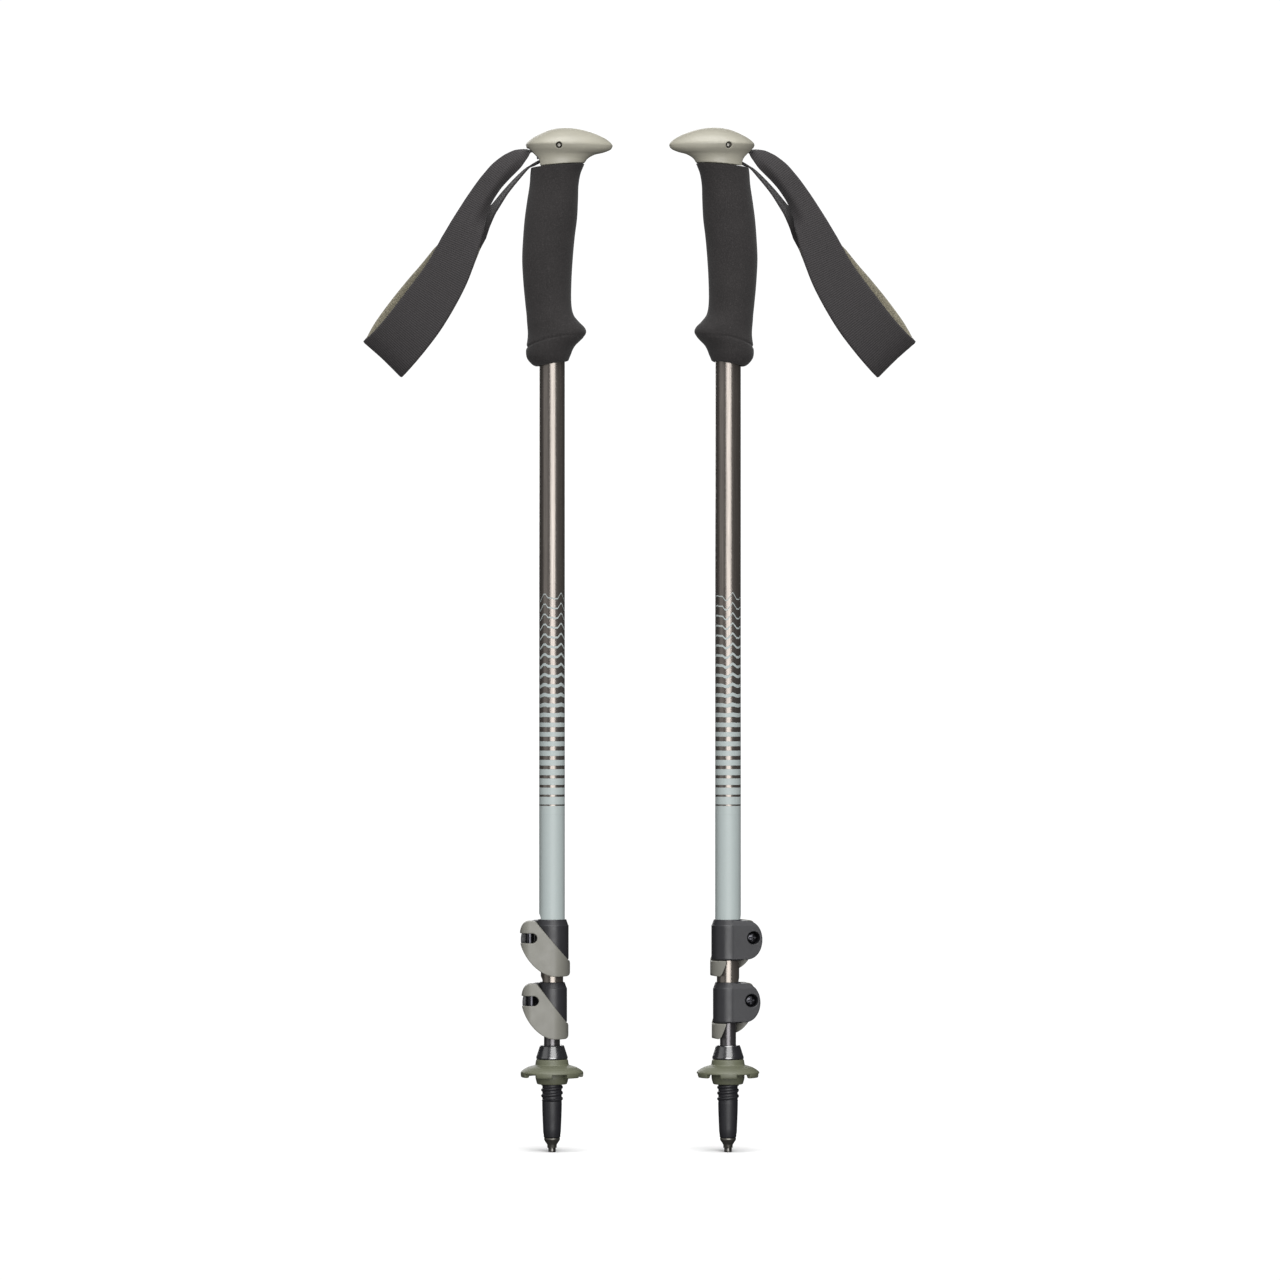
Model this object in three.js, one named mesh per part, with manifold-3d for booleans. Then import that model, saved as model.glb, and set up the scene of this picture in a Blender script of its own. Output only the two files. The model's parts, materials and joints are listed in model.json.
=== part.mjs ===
// A pair of three-section telescoping trekking poles, closed up to their shortest length, with their wrist straps.
// Millimetres, +Z up. Each pole is drawn in its own frame: z = 0 at the point that meets the ground, the shaft's
// axis on Z, +X towards the beak of the grip and the strap towards -X. The pair's origin is the left hand's hold.
import * as THREE from "three";
import { mergeVertices } from "three/addons/utils/BufferGeometryUtils.js";
import Module from "manifold-3d";

const wasm = await Module();
wasm.setup();

// ---------------------------------------------------------------- driving dimensions
const POLE_SPACING = 110; // between the two shafts' axes
const RIGHT_POLE_TURN = THREE.MathUtils.degToRad(195); // the right pole faces the left one
const RIGHT_STRAP_TURN = THREE.MathUtils.degToRad(-15); // and its strap still hangs in the pair's plane
const HAND_HOLD = 556; // height of the middle of the foam grip

const ROUND = 20; // sides of a shaft
const FINE = 12; // sides of a small round piece
const GAP = 0.15; // running clearance between neighbouring pieces

const SHAFT_WALL = 0.8;
const UPPER_R = 8; // outer radii of the three sections
const MIDDLE_R = 7;
const LOWER_R = 6;
const LOWER_END_R = 5; // the lower section tapers to this above the tip
const TRAVEL = 380; // how far each inner section pulls out

const UPPER_CLAMP = { base: 120.1, collarR: 10.4, shaftR: UPPER_R, insideR: MIDDLE_R };
const LOWER_CLAMP = { base: 80.9, collarR: 9.4, shaftR: MIDDLE_R, insideR: LOWER_R };
const CLAMP_HEIGHT = 25.4;
const CLAMP_LIP = 3.6; // the collar's bottom lip, under the end of the shaft that it holds
const SHAFT_TOP = 612;
const GRIPPED_LENGTH = 80; // what stays inside at full stretch
const MIDDLE_TOP = UPPER_CLAMP.base + TRAVEL + GRIPPED_LENGTH;
const LOWER_TOP = LOWER_CLAMP.base + TRAVEL + GRIPPED_LENGTH;

const PIN = { x: 4.6, z: 628.1, r: 1.5, halfLength: 17.6 }; // the strap's cross pin, in the cap
const STRAP_EXIT = { x: -13, z: 621 }; // where the webbing leaves the cap, and bends
const WEBBING = 1.4; // thickness of the webbing
const LINING = 1.8; // thickness of the padded lining
const LAYER_GAP = 0.5; // between webbing and lining
const ANCHOR_WIDTH = 12; // width of the webbing inside the cap

// ---------------------------------------------------------------- materials
const finish = (color, roughness, metalness = 0) =>
  new THREE.MeshStandardMaterial({ color, roughness, metalness });
const capPlastic = finish("#9a9a8c", 0.5);
const foam = finish("#2e2c2d", 0.95);
const webbing = finish("#1f1e1f", 0.9);
const lining = finish("#77735f", 0.95);
const paintedShaft = finish("#a9b4b2", 0.45, 0.2);
const blackShaft = finish("#2b2a2b", 0.3, 0.8);
const collarPlastic = finish("#343338", 0.6);
const leverPlastic = finish("#84847b", 0.55);
const basketPlastic = finish("#6e7358", 0.6);
const tipPlastic = finish("#303034", 0.7);
const glossPlastic = finish("#1d1d20", 0.25);
const nylon = finish("#57585a", 0.6);
const steel = finish("#6b6b68", 0.4, 0.9);
const blackSteel = finish("#1c1c1e", 0.4, 0.8);
const carbide = finish("#7d7d7a", 0.35, 0.9);

// ---------------------------------------------------------------- solids
// A three.js geometry as a manifold-3d solid, with its faces pointing out.
function solid(geometry) {
  const bare = geometry.clone();
  bare.deleteAttribute("normal");
  bare.deleteAttribute("uv");
  const merged = mergeVertices(bare, 1e-4);
  const make = (triVerts) =>
    new wasm.Manifold(
      new wasm.Mesh({ numProp: 3, vertProperties: merged.attributes.position.array, triVerts }),
    );
  const triangles = new Uint32Array(merged.index.array);
  const made = make(triangles);
  return made.volume() >= 0 ? made : make(triangles.reverse());
}

function geometryOf(manifold) {
  const mesh = manifold.getMesh();
  return new THREE.BufferGeometry()
    .setAttribute("position", new THREE.BufferAttribute(new Float32Array(mesh.vertProperties), 3))
    .setIndex(new THREE.BufferAttribute(new Uint32Array(mesh.triVerts), 1));
}

// A solid of revolution about Z, from a closed outline of [radius, z] points.
function turned(outline, sides = ROUND) {
  const points = outline.map(([r, z]) => new THREE.Vector2(r, z));
  if (outline[0][0] > 0) points.push(points[0].clone());
  return solid(new THREE.LatheGeometry(points, sides).rotateX(Math.PI / 2));
}

const tube = (inner, outer, low, high, sides = ROUND) =>
  turned([[inner, low], [outer, low], [outer, high], [inner, high]], sides);

const rod = (r, low, high, sides = ROUND) => turned([[0, low], [r, low], [r, high], [0, high]], sides);

// A round bar along Y, at x and z.
const crossRod = (r, low, high, x, z, sides = FINE) =>
  solid(
    new THREE.CylinderGeometry(r, r, high - low, sides).translate(x, (low + high) / 2, z),
  );

const block = (x0, x1, y0, y1, z0, z1) =>
  solid(
    new THREE.BoxGeometry(x1 - x0, y1 - y0, z1 - z0)
      .translate((x0 + x1) / 2, (y0 + y1) / 2, (z0 + z1) / 2),
  );

// An outline in XY, raised from low to high along Z.
const raised = (shape, low, high, curveSegments = 6) =>
  solid(
    new THREE.ExtrudeGeometry(shape, { depth: high - low, bevelEnabled: false, curveSegments })
      .translate(0, 0, low),
  );

// An outline drawn in XZ, reaching from y0 to y1.
const through = (shape, y0, y1, curveSegments = 6) =>
  solid(
    new THREE.ExtrudeGeometry(shape, { depth: y1 - y0, bevelEnabled: false, curveSegments })
      .rotateX(Math.PI / 2)
      .translate(0, y1, 0),
  );

const polygon = (points) => new THREE.Shape(points.map(([x, y]) => new THREE.Vector2(x, y)));

// A closed skin over a stack of rings of [x, y, z] points, all of the same length.
function skin(rings) {
  const sides = rings[0].length;
  const index = [];
  for (let row = 0; row + 1 < rings.length; row++) {
    for (let k = 0; k < sides; k++) {
      const a = row * sides + k;
      const b = row * sides + ((k + 1) % sides);
      index.push(a, b, b + sides, a, b + sides, a + sides);
    }
  }
  const last = (rings.length - 1) * sides;
  for (let k = 1; k + 1 < sides; k++) {
    index.push(0, k + 1, k, last, last + k, last + k + 1);
  }
  const geometry = new THREE.BufferGeometry()
    .setAttribute("position", new THREE.Float32BufferAttribute(rings.flat(2), 3))
    .setIndex(index);
  return solid(geometry);
}

// Ovals stacked up the grip. A station is [z, back, front, half width, tilt, narrowing towards the front].
const stacked = (stations, sides) =>
  skin(
    stations.map(([z, back, front, side, tilt = 0, narrowing = 0]) =>
      Array.from({ length: sides }, (_, k) => {
        const angle = (2 * Math.PI * k) / sides;
        const x = (front + back) / 2 + ((front - back) / 2) * Math.cos(angle);
        return [x, side * Math.sin(angle) * (1 - narrowing * Math.cos(angle)), z + tilt * x];
      }),
    ),
  );

// ---------------------------------------------------------------- grip
const SEAM_TILT = 0.075; // the joint between cap and foam rises towards the beak
const CAP_STATIONS = [
  [615.9, -10.4, 20.4, 12.4, SEAM_TILT, 0],
  [619.5, -10.5, 22.4, 12.4, 0.05, 0.04],
  [623.0, -12.8, 28.4, 14.5, 0.02, 0.12],
  [626.0, -15.4, 35.8, 17.4, 0, 0.22],
  [628.6, -16.4, 37.9, 18.6, 0, 0.25],
  [631.6, -15.2, 35.8, 17.8, 0, 0.24],
  [635.0, -10.2, 29.6, 15.0, 0, 0.2],
  [638.2, -2.2, 20.8, 9.0, 0, 0.12],
  [640, 4.4, 13.4, 3.6, 0, 0],
];
const FOAM_STATIONS = [
  [492.4, -10.6, 10.4, 11.0, 0.14],
  [497.5, -15.8, 12.3, 13.5, 0.1],
  [504, -16.0, 14.8, 14.3],
  [509.5, -15.3, 20.2, 14.4],
  [514, -15.4, 21.3, 14.0],
  [520, -15.8, 15.8, 13.4],
  [529, -16.6, 12.0, 13.2],
  [546, -18.2, 12.3, 13.8],
  [563, -18.7, 13.4, 14.1],
  [582, -17.2, 15.7, 14.1],
  [600, -14.5, 16.5, 13.6],
  [610, -13.5, 17.6, 13.1],
  [615.6, -13.2, 20.2, 12.8, SEAM_TILT],
];
const SLEEVE = { r: 9.5, low: 556, high: 618 }; // the cap's core, between shaft and foam

function gripCap() {
  const slot = polygon([
    [-24, 616.9], [1, 616.9], [8, 624], [2, 632], [0, 631.4], [-8, 627.4], [-12, 626], [-24, 626],
  ]);
  return stacked(CAP_STATIONS, 18)
    .add(rod(SLEEVE.r, SLEEVE.low, SLEEVE.high))
    .subtract(rod(UPPER_R + GAP, SLEEVE.low - 1, SHAFT_TOP + 0.5))
    .subtract(through(slot, -8.2, 8.2))
    .subtract(crossRod(4.6, -8.2, 8.2, PIN.x, PIN.z))
    .subtract(crossRod(PIN.r + GAP, -30, 30, PIN.x, PIN.z));
}

const gripFoam = () =>
  stacked(FOAM_STATIONS, 16)
    .subtract(rod(UPPER_R + GAP, 480, 630))
    .subtract(rod(SLEEVE.r + GAP, SLEEVE.low - 0.5, 630));

// ---------------------------------------------------------------- strap
// Inside the cap the webbing runs in, round the pin and out again, and a wedge between the runs locks its length.
function strapAnchor() {
  const wrapR = PIN.r + GAP + WEBBING / 2 + 0.1;
  const tangent = (x, z, side) => {
    const away = Math.hypot(PIN.x - x, PIN.z - z);
    const heading = Math.atan2(PIN.z - z, PIN.x - x) + side * Math.asin(wrapR / away);
    return heading + (side * Math.PI) / 2;
  };
  const start = [STRAP_EXIT.x + 2.4, 624.4];
  const end = [STRAP_EXIT.x + 2.4, 618.3];
  const from = tangent(...start, 1);
  const to = tangent(...end, -1);
  const line = [start];
  const steps = 7;
  for (let k = 0; k <= steps; k++) {
    const angle = from + ((to - from) * k) / steps;
    line.push([PIN.x + wrapR * Math.cos(angle), PIN.z + wrapR * Math.sin(angle)]);
  }
  line.push(end);
  const edge = (side) =>
    line.map(([x, z], k) => {
      const [ax, az] = line[Math.max(k - 1, 0)];
      const [bx, bz] = line[Math.min(k + 1, line.length - 1)];
      const length = Math.hypot(bx - ax, bz - az);
      const offset = (side * WEBBING) / 2 / length;
      return [x - (bz - az) * offset, z + (bx - ax) * offset];
    });
  return through(
    polygon([...edge(1), ...edge(-1).reverse()]),
    -ANCHOR_WIDTH / 2,
    ANCHOR_WIDTH / 2,
  );
}

const strapWedge = () =>
  through(polygon([[-9.5, 620.7], [-1.5, 624.1], [-1.5, 626.8], [-9.5, 623.9]]), -6.5, 6.5);

// The loop: down the strand that leaves the cap on top, round the end, and back up the other strand.
// Each point is [x, y, z, width, roll]: at roll 0 the webbing's width lies along Y, and at 90 across its run.
const STRAP_POINTS = [
  [-14.6, 0, 623.1, 12, 10],
  [-23.5, -2.5, 616.6, 12, 45],
  [-34.5, -6, 607.2, 12.5, 78],
  [-45, -9.5, 593.5, 15, 90],
  [-52.4, -12, 577.5, 21, 90],
  [-61, -13.2, 557.5, 25.5, 90],
  [-72, -13.2, 537, 29.5, 90],
  [-84, -12, 519.5, 30.5, 90],
  [-95.5, -9.4, 506, 31.5, 90],
  [-103, -5.2, 498.8, 32, 90],
  [-105.8, 0, 496.2, 32, 90],
  [-103.6, 5.2, 499.2, 32, 90],
  [-97, 9.4, 507.6, 31.5, 90],
  [-87.5, 12, 521.5, 30.5, 90],
  [-76.5, 12.8, 538.5, 29.5, 90],
  [-65.5, 11.8, 556.5, 25.5, 86],
  [-53, 8.6, 571.5, 20, 66],
  [-42, 4.6, 583, 14.5, 30],
  [-31.6, 1.6, 597, 12, 10],
  [-21.5, 0.2, 610.6, 12, 2],
  [-14.4, 0, 617.7, 12, 0],
];
const STEPS_PER_POINT = 2;
const LINED = { from: 3.5, to: 16.5 }; // the lining's ends, counted along the points above
const ACROSS = new THREE.Vector3(-0.84, 0, 0.54); // across the strap's run, in the pair's plane

// A layer of the strap between two heights above its inner face, as rings that follow the loop.
function strapLayer(low, high, from, to, margin, hand) {
  const path = new THREE.CatmullRomCurve3(STRAP_POINTS.map(([x, y, z]) => new THREE.Vector3(x, y, z)));
  const form = new THREE.CatmullRomCurve3(STRAP_POINTS.map(([, , , w, roll]) => new THREE.Vector3(w, roll, 0)));
  const last = STRAP_POINTS.length - 1;
  const steps = Math.round((to - from) * STEPS_PER_POINT);
  const rings = [];
  for (let k = 0; k <= steps; k++) {
    const t = (from + ((to - from) * k) / steps) / last;
    const centre = path.getPoint(t);
    const along = path.getTangent(t);
    const { x: width, y: rollDegrees } = form.getPoint(t);
    const roll = THREE.MathUtils.degToRad(rollDegrees);
    const across = new THREE.Vector3(0, Math.cos(roll), 0).addScaledVector(ACROSS, Math.sin(roll));
    across.addScaledVector(along, -across.dot(along)).normalize();
    const out = across.clone().cross(along).normalize();
    const corner = (side, height) => {
      const p = centre.clone().addScaledVector(across, (side * (width - margin)) / 2).addScaledVector(out, height);
      return [p.x, hand * p.y, p.z];
    };
    rings.push([corner(-1, low), corner(1, low), corner(1, high), corner(-1, high)]);
  }
  return skin(rings);
}

const strapWebbing = (hand) => strapLayer(0, WEBBING, 0, STRAP_POINTS.length - 1, 0, hand);
const strapLining = (hand) => strapLayer(-LINING - LAYER_GAP, -LAYER_GAP, LINED.from, LINED.to, 1.6, hand);

// ---------------------------------------------------------------- shafts
// The slot that lets a clamp squeeze the end of the shaft that it sits on, and its round top above the collar.
const SLOT_HALF_WIDTH = 4.2;
const SLOT_RISE = 3.6;
function clampSlot(clamp, low) {
  const top = clamp.base + CLAMP_HEIGHT + SLOT_RISE - SLOT_HALF_WIDTH;
  const shape = new THREE.Shape();
  shape.moveTo(-SLOT_HALF_WIDTH, low - 1);
  shape.lineTo(SLOT_HALF_WIDTH, low - 1);
  shape.lineTo(SLOT_HALF_WIDTH, top);
  shape.absarc(0, top, SLOT_HALF_WIDTH, 0, Math.PI, false);
  shape.closePath();
  return through(shape, 0, 12).rotate([0, 0, 90]);
}

function outerShaft(clamp, r, top) {
  const low = clamp.base + CLAMP_LIP + 0.1;
  return tube(r - SHAFT_WALL, r, low, top).subtract(clampSlot(clamp, low));
}

const upperShaft = () => outerShaft(UPPER_CLAMP, UPPER_R, SHAFT_TOP);
const middleShaft = () => outerShaft(LOWER_CLAMP, MIDDLE_R, MIDDLE_TOP);

const SHAFT_IN_TIP = 48; // the lower shaft's end, inside the tip
const TAPER = { low: 76, high: 98 };
function lowerShaft() {
  const bore = LOWER_R - SHAFT_WALL;
  const endBore = LOWER_END_R - SHAFT_WALL;
  return turned([
    [endBore, SHAFT_IN_TIP], [LOWER_END_R, SHAFT_IN_TIP], [LOWER_END_R, TAPER.low], [LOWER_R, TAPER.high],
    [LOWER_R, LOWER_TOP], [bore, LOWER_TOP], [bore, TAPER.high], [endBore, TAPER.low],
  ]);
}

// A plastic plug in the top of an inner section, whose flange keeps it from rattling in the section around it.
const FLANGE = 4;
const SPIGOT = 14;
const bushing = (shaftR, top) =>
  turned([
    [1.6, top - SPIGOT], [shaftR - SHAFT_WALL - GAP, top - SPIGOT], [shaftR - SHAFT_WALL - GAP, top],
    [shaftR + 0.05, top], [shaftR + 0.05, top + FLANGE - 1], [shaftR - 0.7, top + FLANGE], [1.6, top + FLANGE],
  ], FINE);

// ---------------------------------------------------------------- clamps
const HUB_R = 6.2; // the lever's cam, round the barrel nut
const BARREL_R = 2.6;
const SCREW_R = 2;
const SCREW_HEAD = { r: 3.7, height: 2.5 };
const EAR = { low: -1.9, high: 9, reach: 9.1 }; // the collar's two ears together, and how far they stand out
const EAR_R = 12.4;
const SPLIT = { low: 0.8, high: 2.2 };
const RECESS_FLOOR = 4.8;
const LEVER_DROP = 10; // how far the lever hangs below the collar

const hub = ({ collarR, base }) => ({ x: -collarR - 3.4, y: -collarR + 2.2, z: base + 14 });

function collar(clamp) {
  const { base, collarR, shaftR, insideR } = clamp;
  const top = base + CLAMP_HEIGHT;
  const at = hub(clamp);
  const body = turned([
    [0, base], [collarR - 0.6, base], [collarR, base + 0.8], [collarR, top - 3.6], [collarR - 1.1, top],
    [0, top],
  ]);
  const ear = crossRod(EAR_R, EAR.low, EAR.high, -collarR + EAR_R - EAR.reach, base + CLAMP_HEIGHT / 2, ROUND)
    .intersect(block(-30, 0, -20, 20, base, top - 0.6));
  return body
    .add(ear)
    .subtract(rod(insideR + 0.25, base - 1, top + 1))
    .subtract(rod(shaftR + GAP, base + CLAMP_LIP, top + 1))
    .subtract(block(-30, -insideR + 1, SPLIT.low, SPLIT.high, base - 1, top + 1))
    .subtract(rod(HUB_R + GAP, base - 1, top + 1).translate([at.x, at.y, 0]))
    .subtract(crossRod(SCREW_R + 0.3, -20, 20, at.x, at.z))
    .subtract(crossRod(SCREW_HEAD.r + 0.4, RECESS_FLOOR, 20, at.x, at.z));
}

// The lever's face, drawn in XZ from the collar's bottom: a leaf that runs down from the cam to the finger tab.
function leverFace({ collarR, base }) {
  const left = -collarR - 9.7;
  const right = collarR + 0.9;
  const face = new THREE.Shape();
  face.moveTo(left + 5.8, base + 24.7);
  face.quadraticCurveTo(left, base + 24.4, left, base + 14.4);
  face.bezierCurveTo(left, base + 5, -9, base + 0.2 - LEVER_DROP, 2, base - LEVER_DROP);
  face.lineTo(right - 2.6, base - LEVER_DROP);
  face.quadraticCurveTo(right, base - LEVER_DROP, right, base + 2.6 - LEVER_DROP);
  face.lineTo(right, base - 2.2);
  face.quadraticCurveTo(right, base - 1, right - 0.8, base);
  face.lineTo(left + 11, base + 23.2);
  face.quadraticCurveTo(left + 9.6, base + 24.7, left + 7.8, base + 24.7);
  face.closePath();
  return face;
}

// The finger tab hooks round the free side of the inner shaft, under the collar, and flares at its end.
const TAB = { from: -55, to: 68, innerFlare: 1, outerFlare: 1.3 };
function fingerTab({ collarR, insideR, base }) {
  const ring = (radius, flare) =>
    Array.from({ length: 8 }, (_, k) => {
      const share = k / 7;
      const angle = THREE.MathUtils.degToRad(TAB.from + (TAB.to - TAB.from) * share);
      const r = radius + flare * share * share;
      return [r * Math.cos(angle), r * Math.sin(angle)];
    });
  const outline = [...ring(collarR + 0.6, TAB.outerFlare), ...ring(insideR + 1.6, TAB.innerFlare).reverse()];
  return raised(polygon(outline), base - LEVER_DROP, base - 0.3);
}

const LEVER_SLOT_HALF_HEIGHT = 3.1;
function lever(clamp) {
  const { base, collarR } = clamp;
  const at = hub(clamp);
  const low = base - LEVER_DROP;
  const high = base + 24.7;
  const front = collarR + 2.9;
  const wrap = new THREE.Shape();
  wrap.moveTo(at.x, at.y - HUB_R);
  wrap.lineTo(-1, -front);
  wrap.absellipse(0, 0, collarR + 0.6, front, -Math.PI / 2, 0, false);
  wrap.lineTo(0, 0);
  wrap.lineTo(at.x, at.y);
  const slot = new THREE.Shape();
  slot.moveTo(-30, at.z - LEVER_SLOT_HALF_HEIGHT);
  slot.lineTo(at.x + 1.6, at.z - LEVER_SLOT_HALF_HEIGHT);
  slot.absarc(at.x + 1.6, at.z, LEVER_SLOT_HALF_HEIGHT, -Math.PI / 2, Math.PI / 2, false);
  slot.lineTo(-30, at.z + LEVER_SLOT_HALF_HEIGHT);
  const face = through(leverFace(clamp), -25, 15);
  return raised(wrap, low, high)
    .subtract(rod(collarR + 0.3, low - 1, high + 1))
    .add(rod(HUB_R, low, high).translate([at.x, at.y, 0]))
    .add(fingerTab(clamp))
    .intersect(face)
    .subtract(rod(BARREL_R + GAP, low - 1, high + 1, FINE).translate([at.x, at.y, 0]))
    .subtract(through(slot, -25, 0));
}

const BARREL_REACH = 7.4;
function barrelNut(clamp) {
  const at = hub(clamp);
  return rod(BARREL_R, at.z - BARREL_REACH, at.z + BARREL_REACH, FINE)
    .translate([at.x, at.y, 0])
    .subtract(crossRod(SCREW_R + 0.12, -20, 20, at.x, at.z));
}

// The screw's head sits in the ear's recess, and its end is in the barrel nut. Drawn about its own middle.
function clampScrew(clamp) {
  const at = hub(clamp);
  const headLow = RECESS_FLOOR + 0.15;
  const headHigh = headLow + SCREW_HEAD.height;
  const bar = (long, wide) => block(at.x - long, at.x + long, headHigh - 1.3, headHigh + 1, at.z - wide, at.z + wide);
  return crossRod(SCREW_HEAD.r, headLow, headHigh, at.x, at.z)
    .add(crossRod(SCREW_R, at.y - 1.4, headLow + 0.5, at.x, at.z))
    .subtract(bar(2.3, 0.45))
    .subtract(bar(0.45, 2.3));
}

// ---------------------------------------------------------------- tip
const NECK_TOP = 61.5;
const BASKET = { low: 42.4, high: 58, bore: 7.05 };
const THREAD = { rootR: 6.2, crestR: 6.8, pitch: 3, turns: 5, low: 32.4 };

const tipFerrule = () =>
  turned([
    [6.35, 58.2], [9.8, 58.2], [9.7, 59.6], [7.6, 66.2], [7.2, 66.8], [LOWER_END_R + GAP, 66.8],
    [LOWER_END_R + GAP, NECK_TOP + 0.3], [6.35, NECK_TOP + 0.3],
  ], 16);

function flexTip() {
  const ridges = Array.from({ length: THREAD.turns }, (_, k) => {
    const z = THREAD.low + THREAD.pitch * k;
    return [[THREAD.rootR, z], [THREAD.crestR, z + 1.1], [THREAD.rootR, z + 2.2]];
  }).flat();
  return turned([
    [2.6, 9.1], [5.1, 9.1], [5.5, 10.4], [6.1, 23], ...ridges,
    [THREAD.rootR, NECK_TOP], [LOWER_END_R + 0.1, NECK_TOP], [LOWER_END_R + 0.1, SHAFT_IN_TIP - 0.3],
    [2.6, SHAFT_IN_TIP - 0.3],
  ], 16);
}

// The steel holder's stud is in the tip, and the carbide point is in the holder.
const tipHolder = () =>
  turned([
    [1.75, 2.6], [2.9, 2.6], [2.9, 4.4], [5.05, 8], [5.05, 8.9], [2.45, 8.9], [2.45, 22], [1.75, 22],
  ], FINE);

const carbidePoint = () => turned([[0, 0], [2.1, 0], [2.35, 0.4], [2.35, 2.45], [1.6, 2.45], [1.6, 12], [0, 12]], FINE);

const BASKET_TABS = 6;
function basket() {
  const round = turned([
    [BASKET.bore, BASKET.low], [9.4, BASKET.low], [10.3, 45.8], [10.4, 50.6], [15.2, 49.6], [16.6, 46.9],
    [19.3, 46.9], [19.6, 50.4], [17, 52.6], [11, 54.5], [10.1, BASKET.high], [BASKET.bore, BASKET.high],
  ], 24);
  let made = round;
  for (let k = 0; k < BASKET_TABS; k++) {
    const notch = polygon([[13.4, -3.4], [24, -6.4], [24, 6.4], [13.4, 3.4]]);
    made = made.subtract(raised(notch, 44, 49.2).rotate([0, 0, (360 * (k + 0.5)) / BASKET_TABS]));
  }
  return made;
}

// ---------------------------------------------------------------- assembly
function pole(side, hand, strapTurn) {
  const group = new THREE.Group();
  const add = (name, manifold, material, parent = group) => {
    const mesh = new THREE.Mesh(geometryOf(manifold), material);
    mesh.name = `${side}_${name}`;
    parent.add(mesh);
    return mesh;
  };

  add("grip_cap", gripCap(), capPlastic);
  add("grip_foam", gripFoam(), foam);
  add("strap_pin", crossRod(PIN.r, -PIN.halfLength, PIN.halfLength, PIN.x, PIN.z), steel);
  add("strap_anchor", strapAnchor(), webbing);
  add("strap_wedge", strapWedge(), nylon);

  const exit = new THREE.Group(); // the strap turns about the upright line through its exit
  exit.position.set(STRAP_EXIT.x, 0, 0);
  exit.rotation.z = strapTurn;
  group.add(exit);
  for (const [name, made, material] of [
    ["strap_webbing", strapWebbing(hand), webbing],
    ["strap_lining", strapLining(hand), lining],
  ]) {
    add(name, made, material, exit).position.set(-STRAP_EXIT.x, 0, 0);
  }

  add("upper_shaft", upperShaft(), paintedShaft);
  add("middle_shaft", middleShaft(), blackShaft);
  add("lower_shaft", lowerShaft(), blackShaft);
  add("middle_bushing", bushing(MIDDLE_R, MIDDLE_TOP), nylon);
  add("lower_bushing", bushing(LOWER_R, LOWER_TOP), nylon);

  for (const [name, clamp] of [["upper", UPPER_CLAMP], ["lower", LOWER_CLAMP]]) {
    add(`${name}_collar`, collar(clamp), collarPlastic);
    add(`${name}_lever`, lever(clamp), leverPlastic);
    add(`${name}_barrel_nut`, barrelNut(clamp), blackSteel);
    add(`${name}_clamp_screw`, clampScrew(clamp), blackSteel);
  }

  add("tip_ferrule", tipFerrule(), glossPlastic);
  add("basket", basket(), basketPlastic);
  add("flex_tip", flexTip(), tipPlastic);
  add("tip_holder", tipHolder(), steel);
  add("carbide_point", carbidePoint(), carbide);
  return group;
}

const pair = new THREE.Group();
const left = pole("left", 1, 0);
left.position.set(0, 0, -HAND_HOLD);
const right = pole("right", -1, RIGHT_STRAP_TURN);
right.position.set(POLE_SPACING, 0, -HAND_HOLD);
right.rotation.z = RIGHT_POLE_TURN;
pair.add(left, right);

export default pair;
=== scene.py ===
"""The looks of a pair of trekking poles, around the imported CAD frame.

Each piece is made in its pole's own frame in millimetres, as the CAD is. There z is 0 at the point,
the shaft's axis is on Z, the grip's beak points to +X and the strap leaves towards -X. The piece is
then put where the frame says that the pole is.
"""
import json
import math

import bpy
from mathutils import Matrix, Vector


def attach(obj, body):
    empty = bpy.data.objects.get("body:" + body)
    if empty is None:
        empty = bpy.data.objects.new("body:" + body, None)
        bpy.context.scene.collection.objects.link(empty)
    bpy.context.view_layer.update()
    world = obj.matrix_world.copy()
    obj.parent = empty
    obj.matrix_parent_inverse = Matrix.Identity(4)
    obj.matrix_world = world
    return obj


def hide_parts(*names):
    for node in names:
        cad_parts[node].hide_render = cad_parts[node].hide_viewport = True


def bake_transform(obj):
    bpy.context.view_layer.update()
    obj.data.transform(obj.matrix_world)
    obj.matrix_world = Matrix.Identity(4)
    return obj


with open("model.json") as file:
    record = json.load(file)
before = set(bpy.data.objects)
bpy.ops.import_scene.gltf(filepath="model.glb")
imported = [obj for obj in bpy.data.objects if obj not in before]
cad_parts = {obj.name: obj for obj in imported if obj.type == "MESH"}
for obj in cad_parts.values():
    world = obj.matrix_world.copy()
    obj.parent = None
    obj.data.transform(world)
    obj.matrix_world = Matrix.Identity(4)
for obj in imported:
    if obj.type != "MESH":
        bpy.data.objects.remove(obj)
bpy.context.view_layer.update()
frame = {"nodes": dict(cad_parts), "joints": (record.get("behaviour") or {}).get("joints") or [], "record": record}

MM = 0.001
SIDES = ("left", "right")
MOUNTS = {mount["name"]: mount for mount in frame["record"]["mounts"]}
JOINTS = {joint["name"]: joint for joint in frame["joints"]}
SCENE = bpy.context.scene

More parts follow.
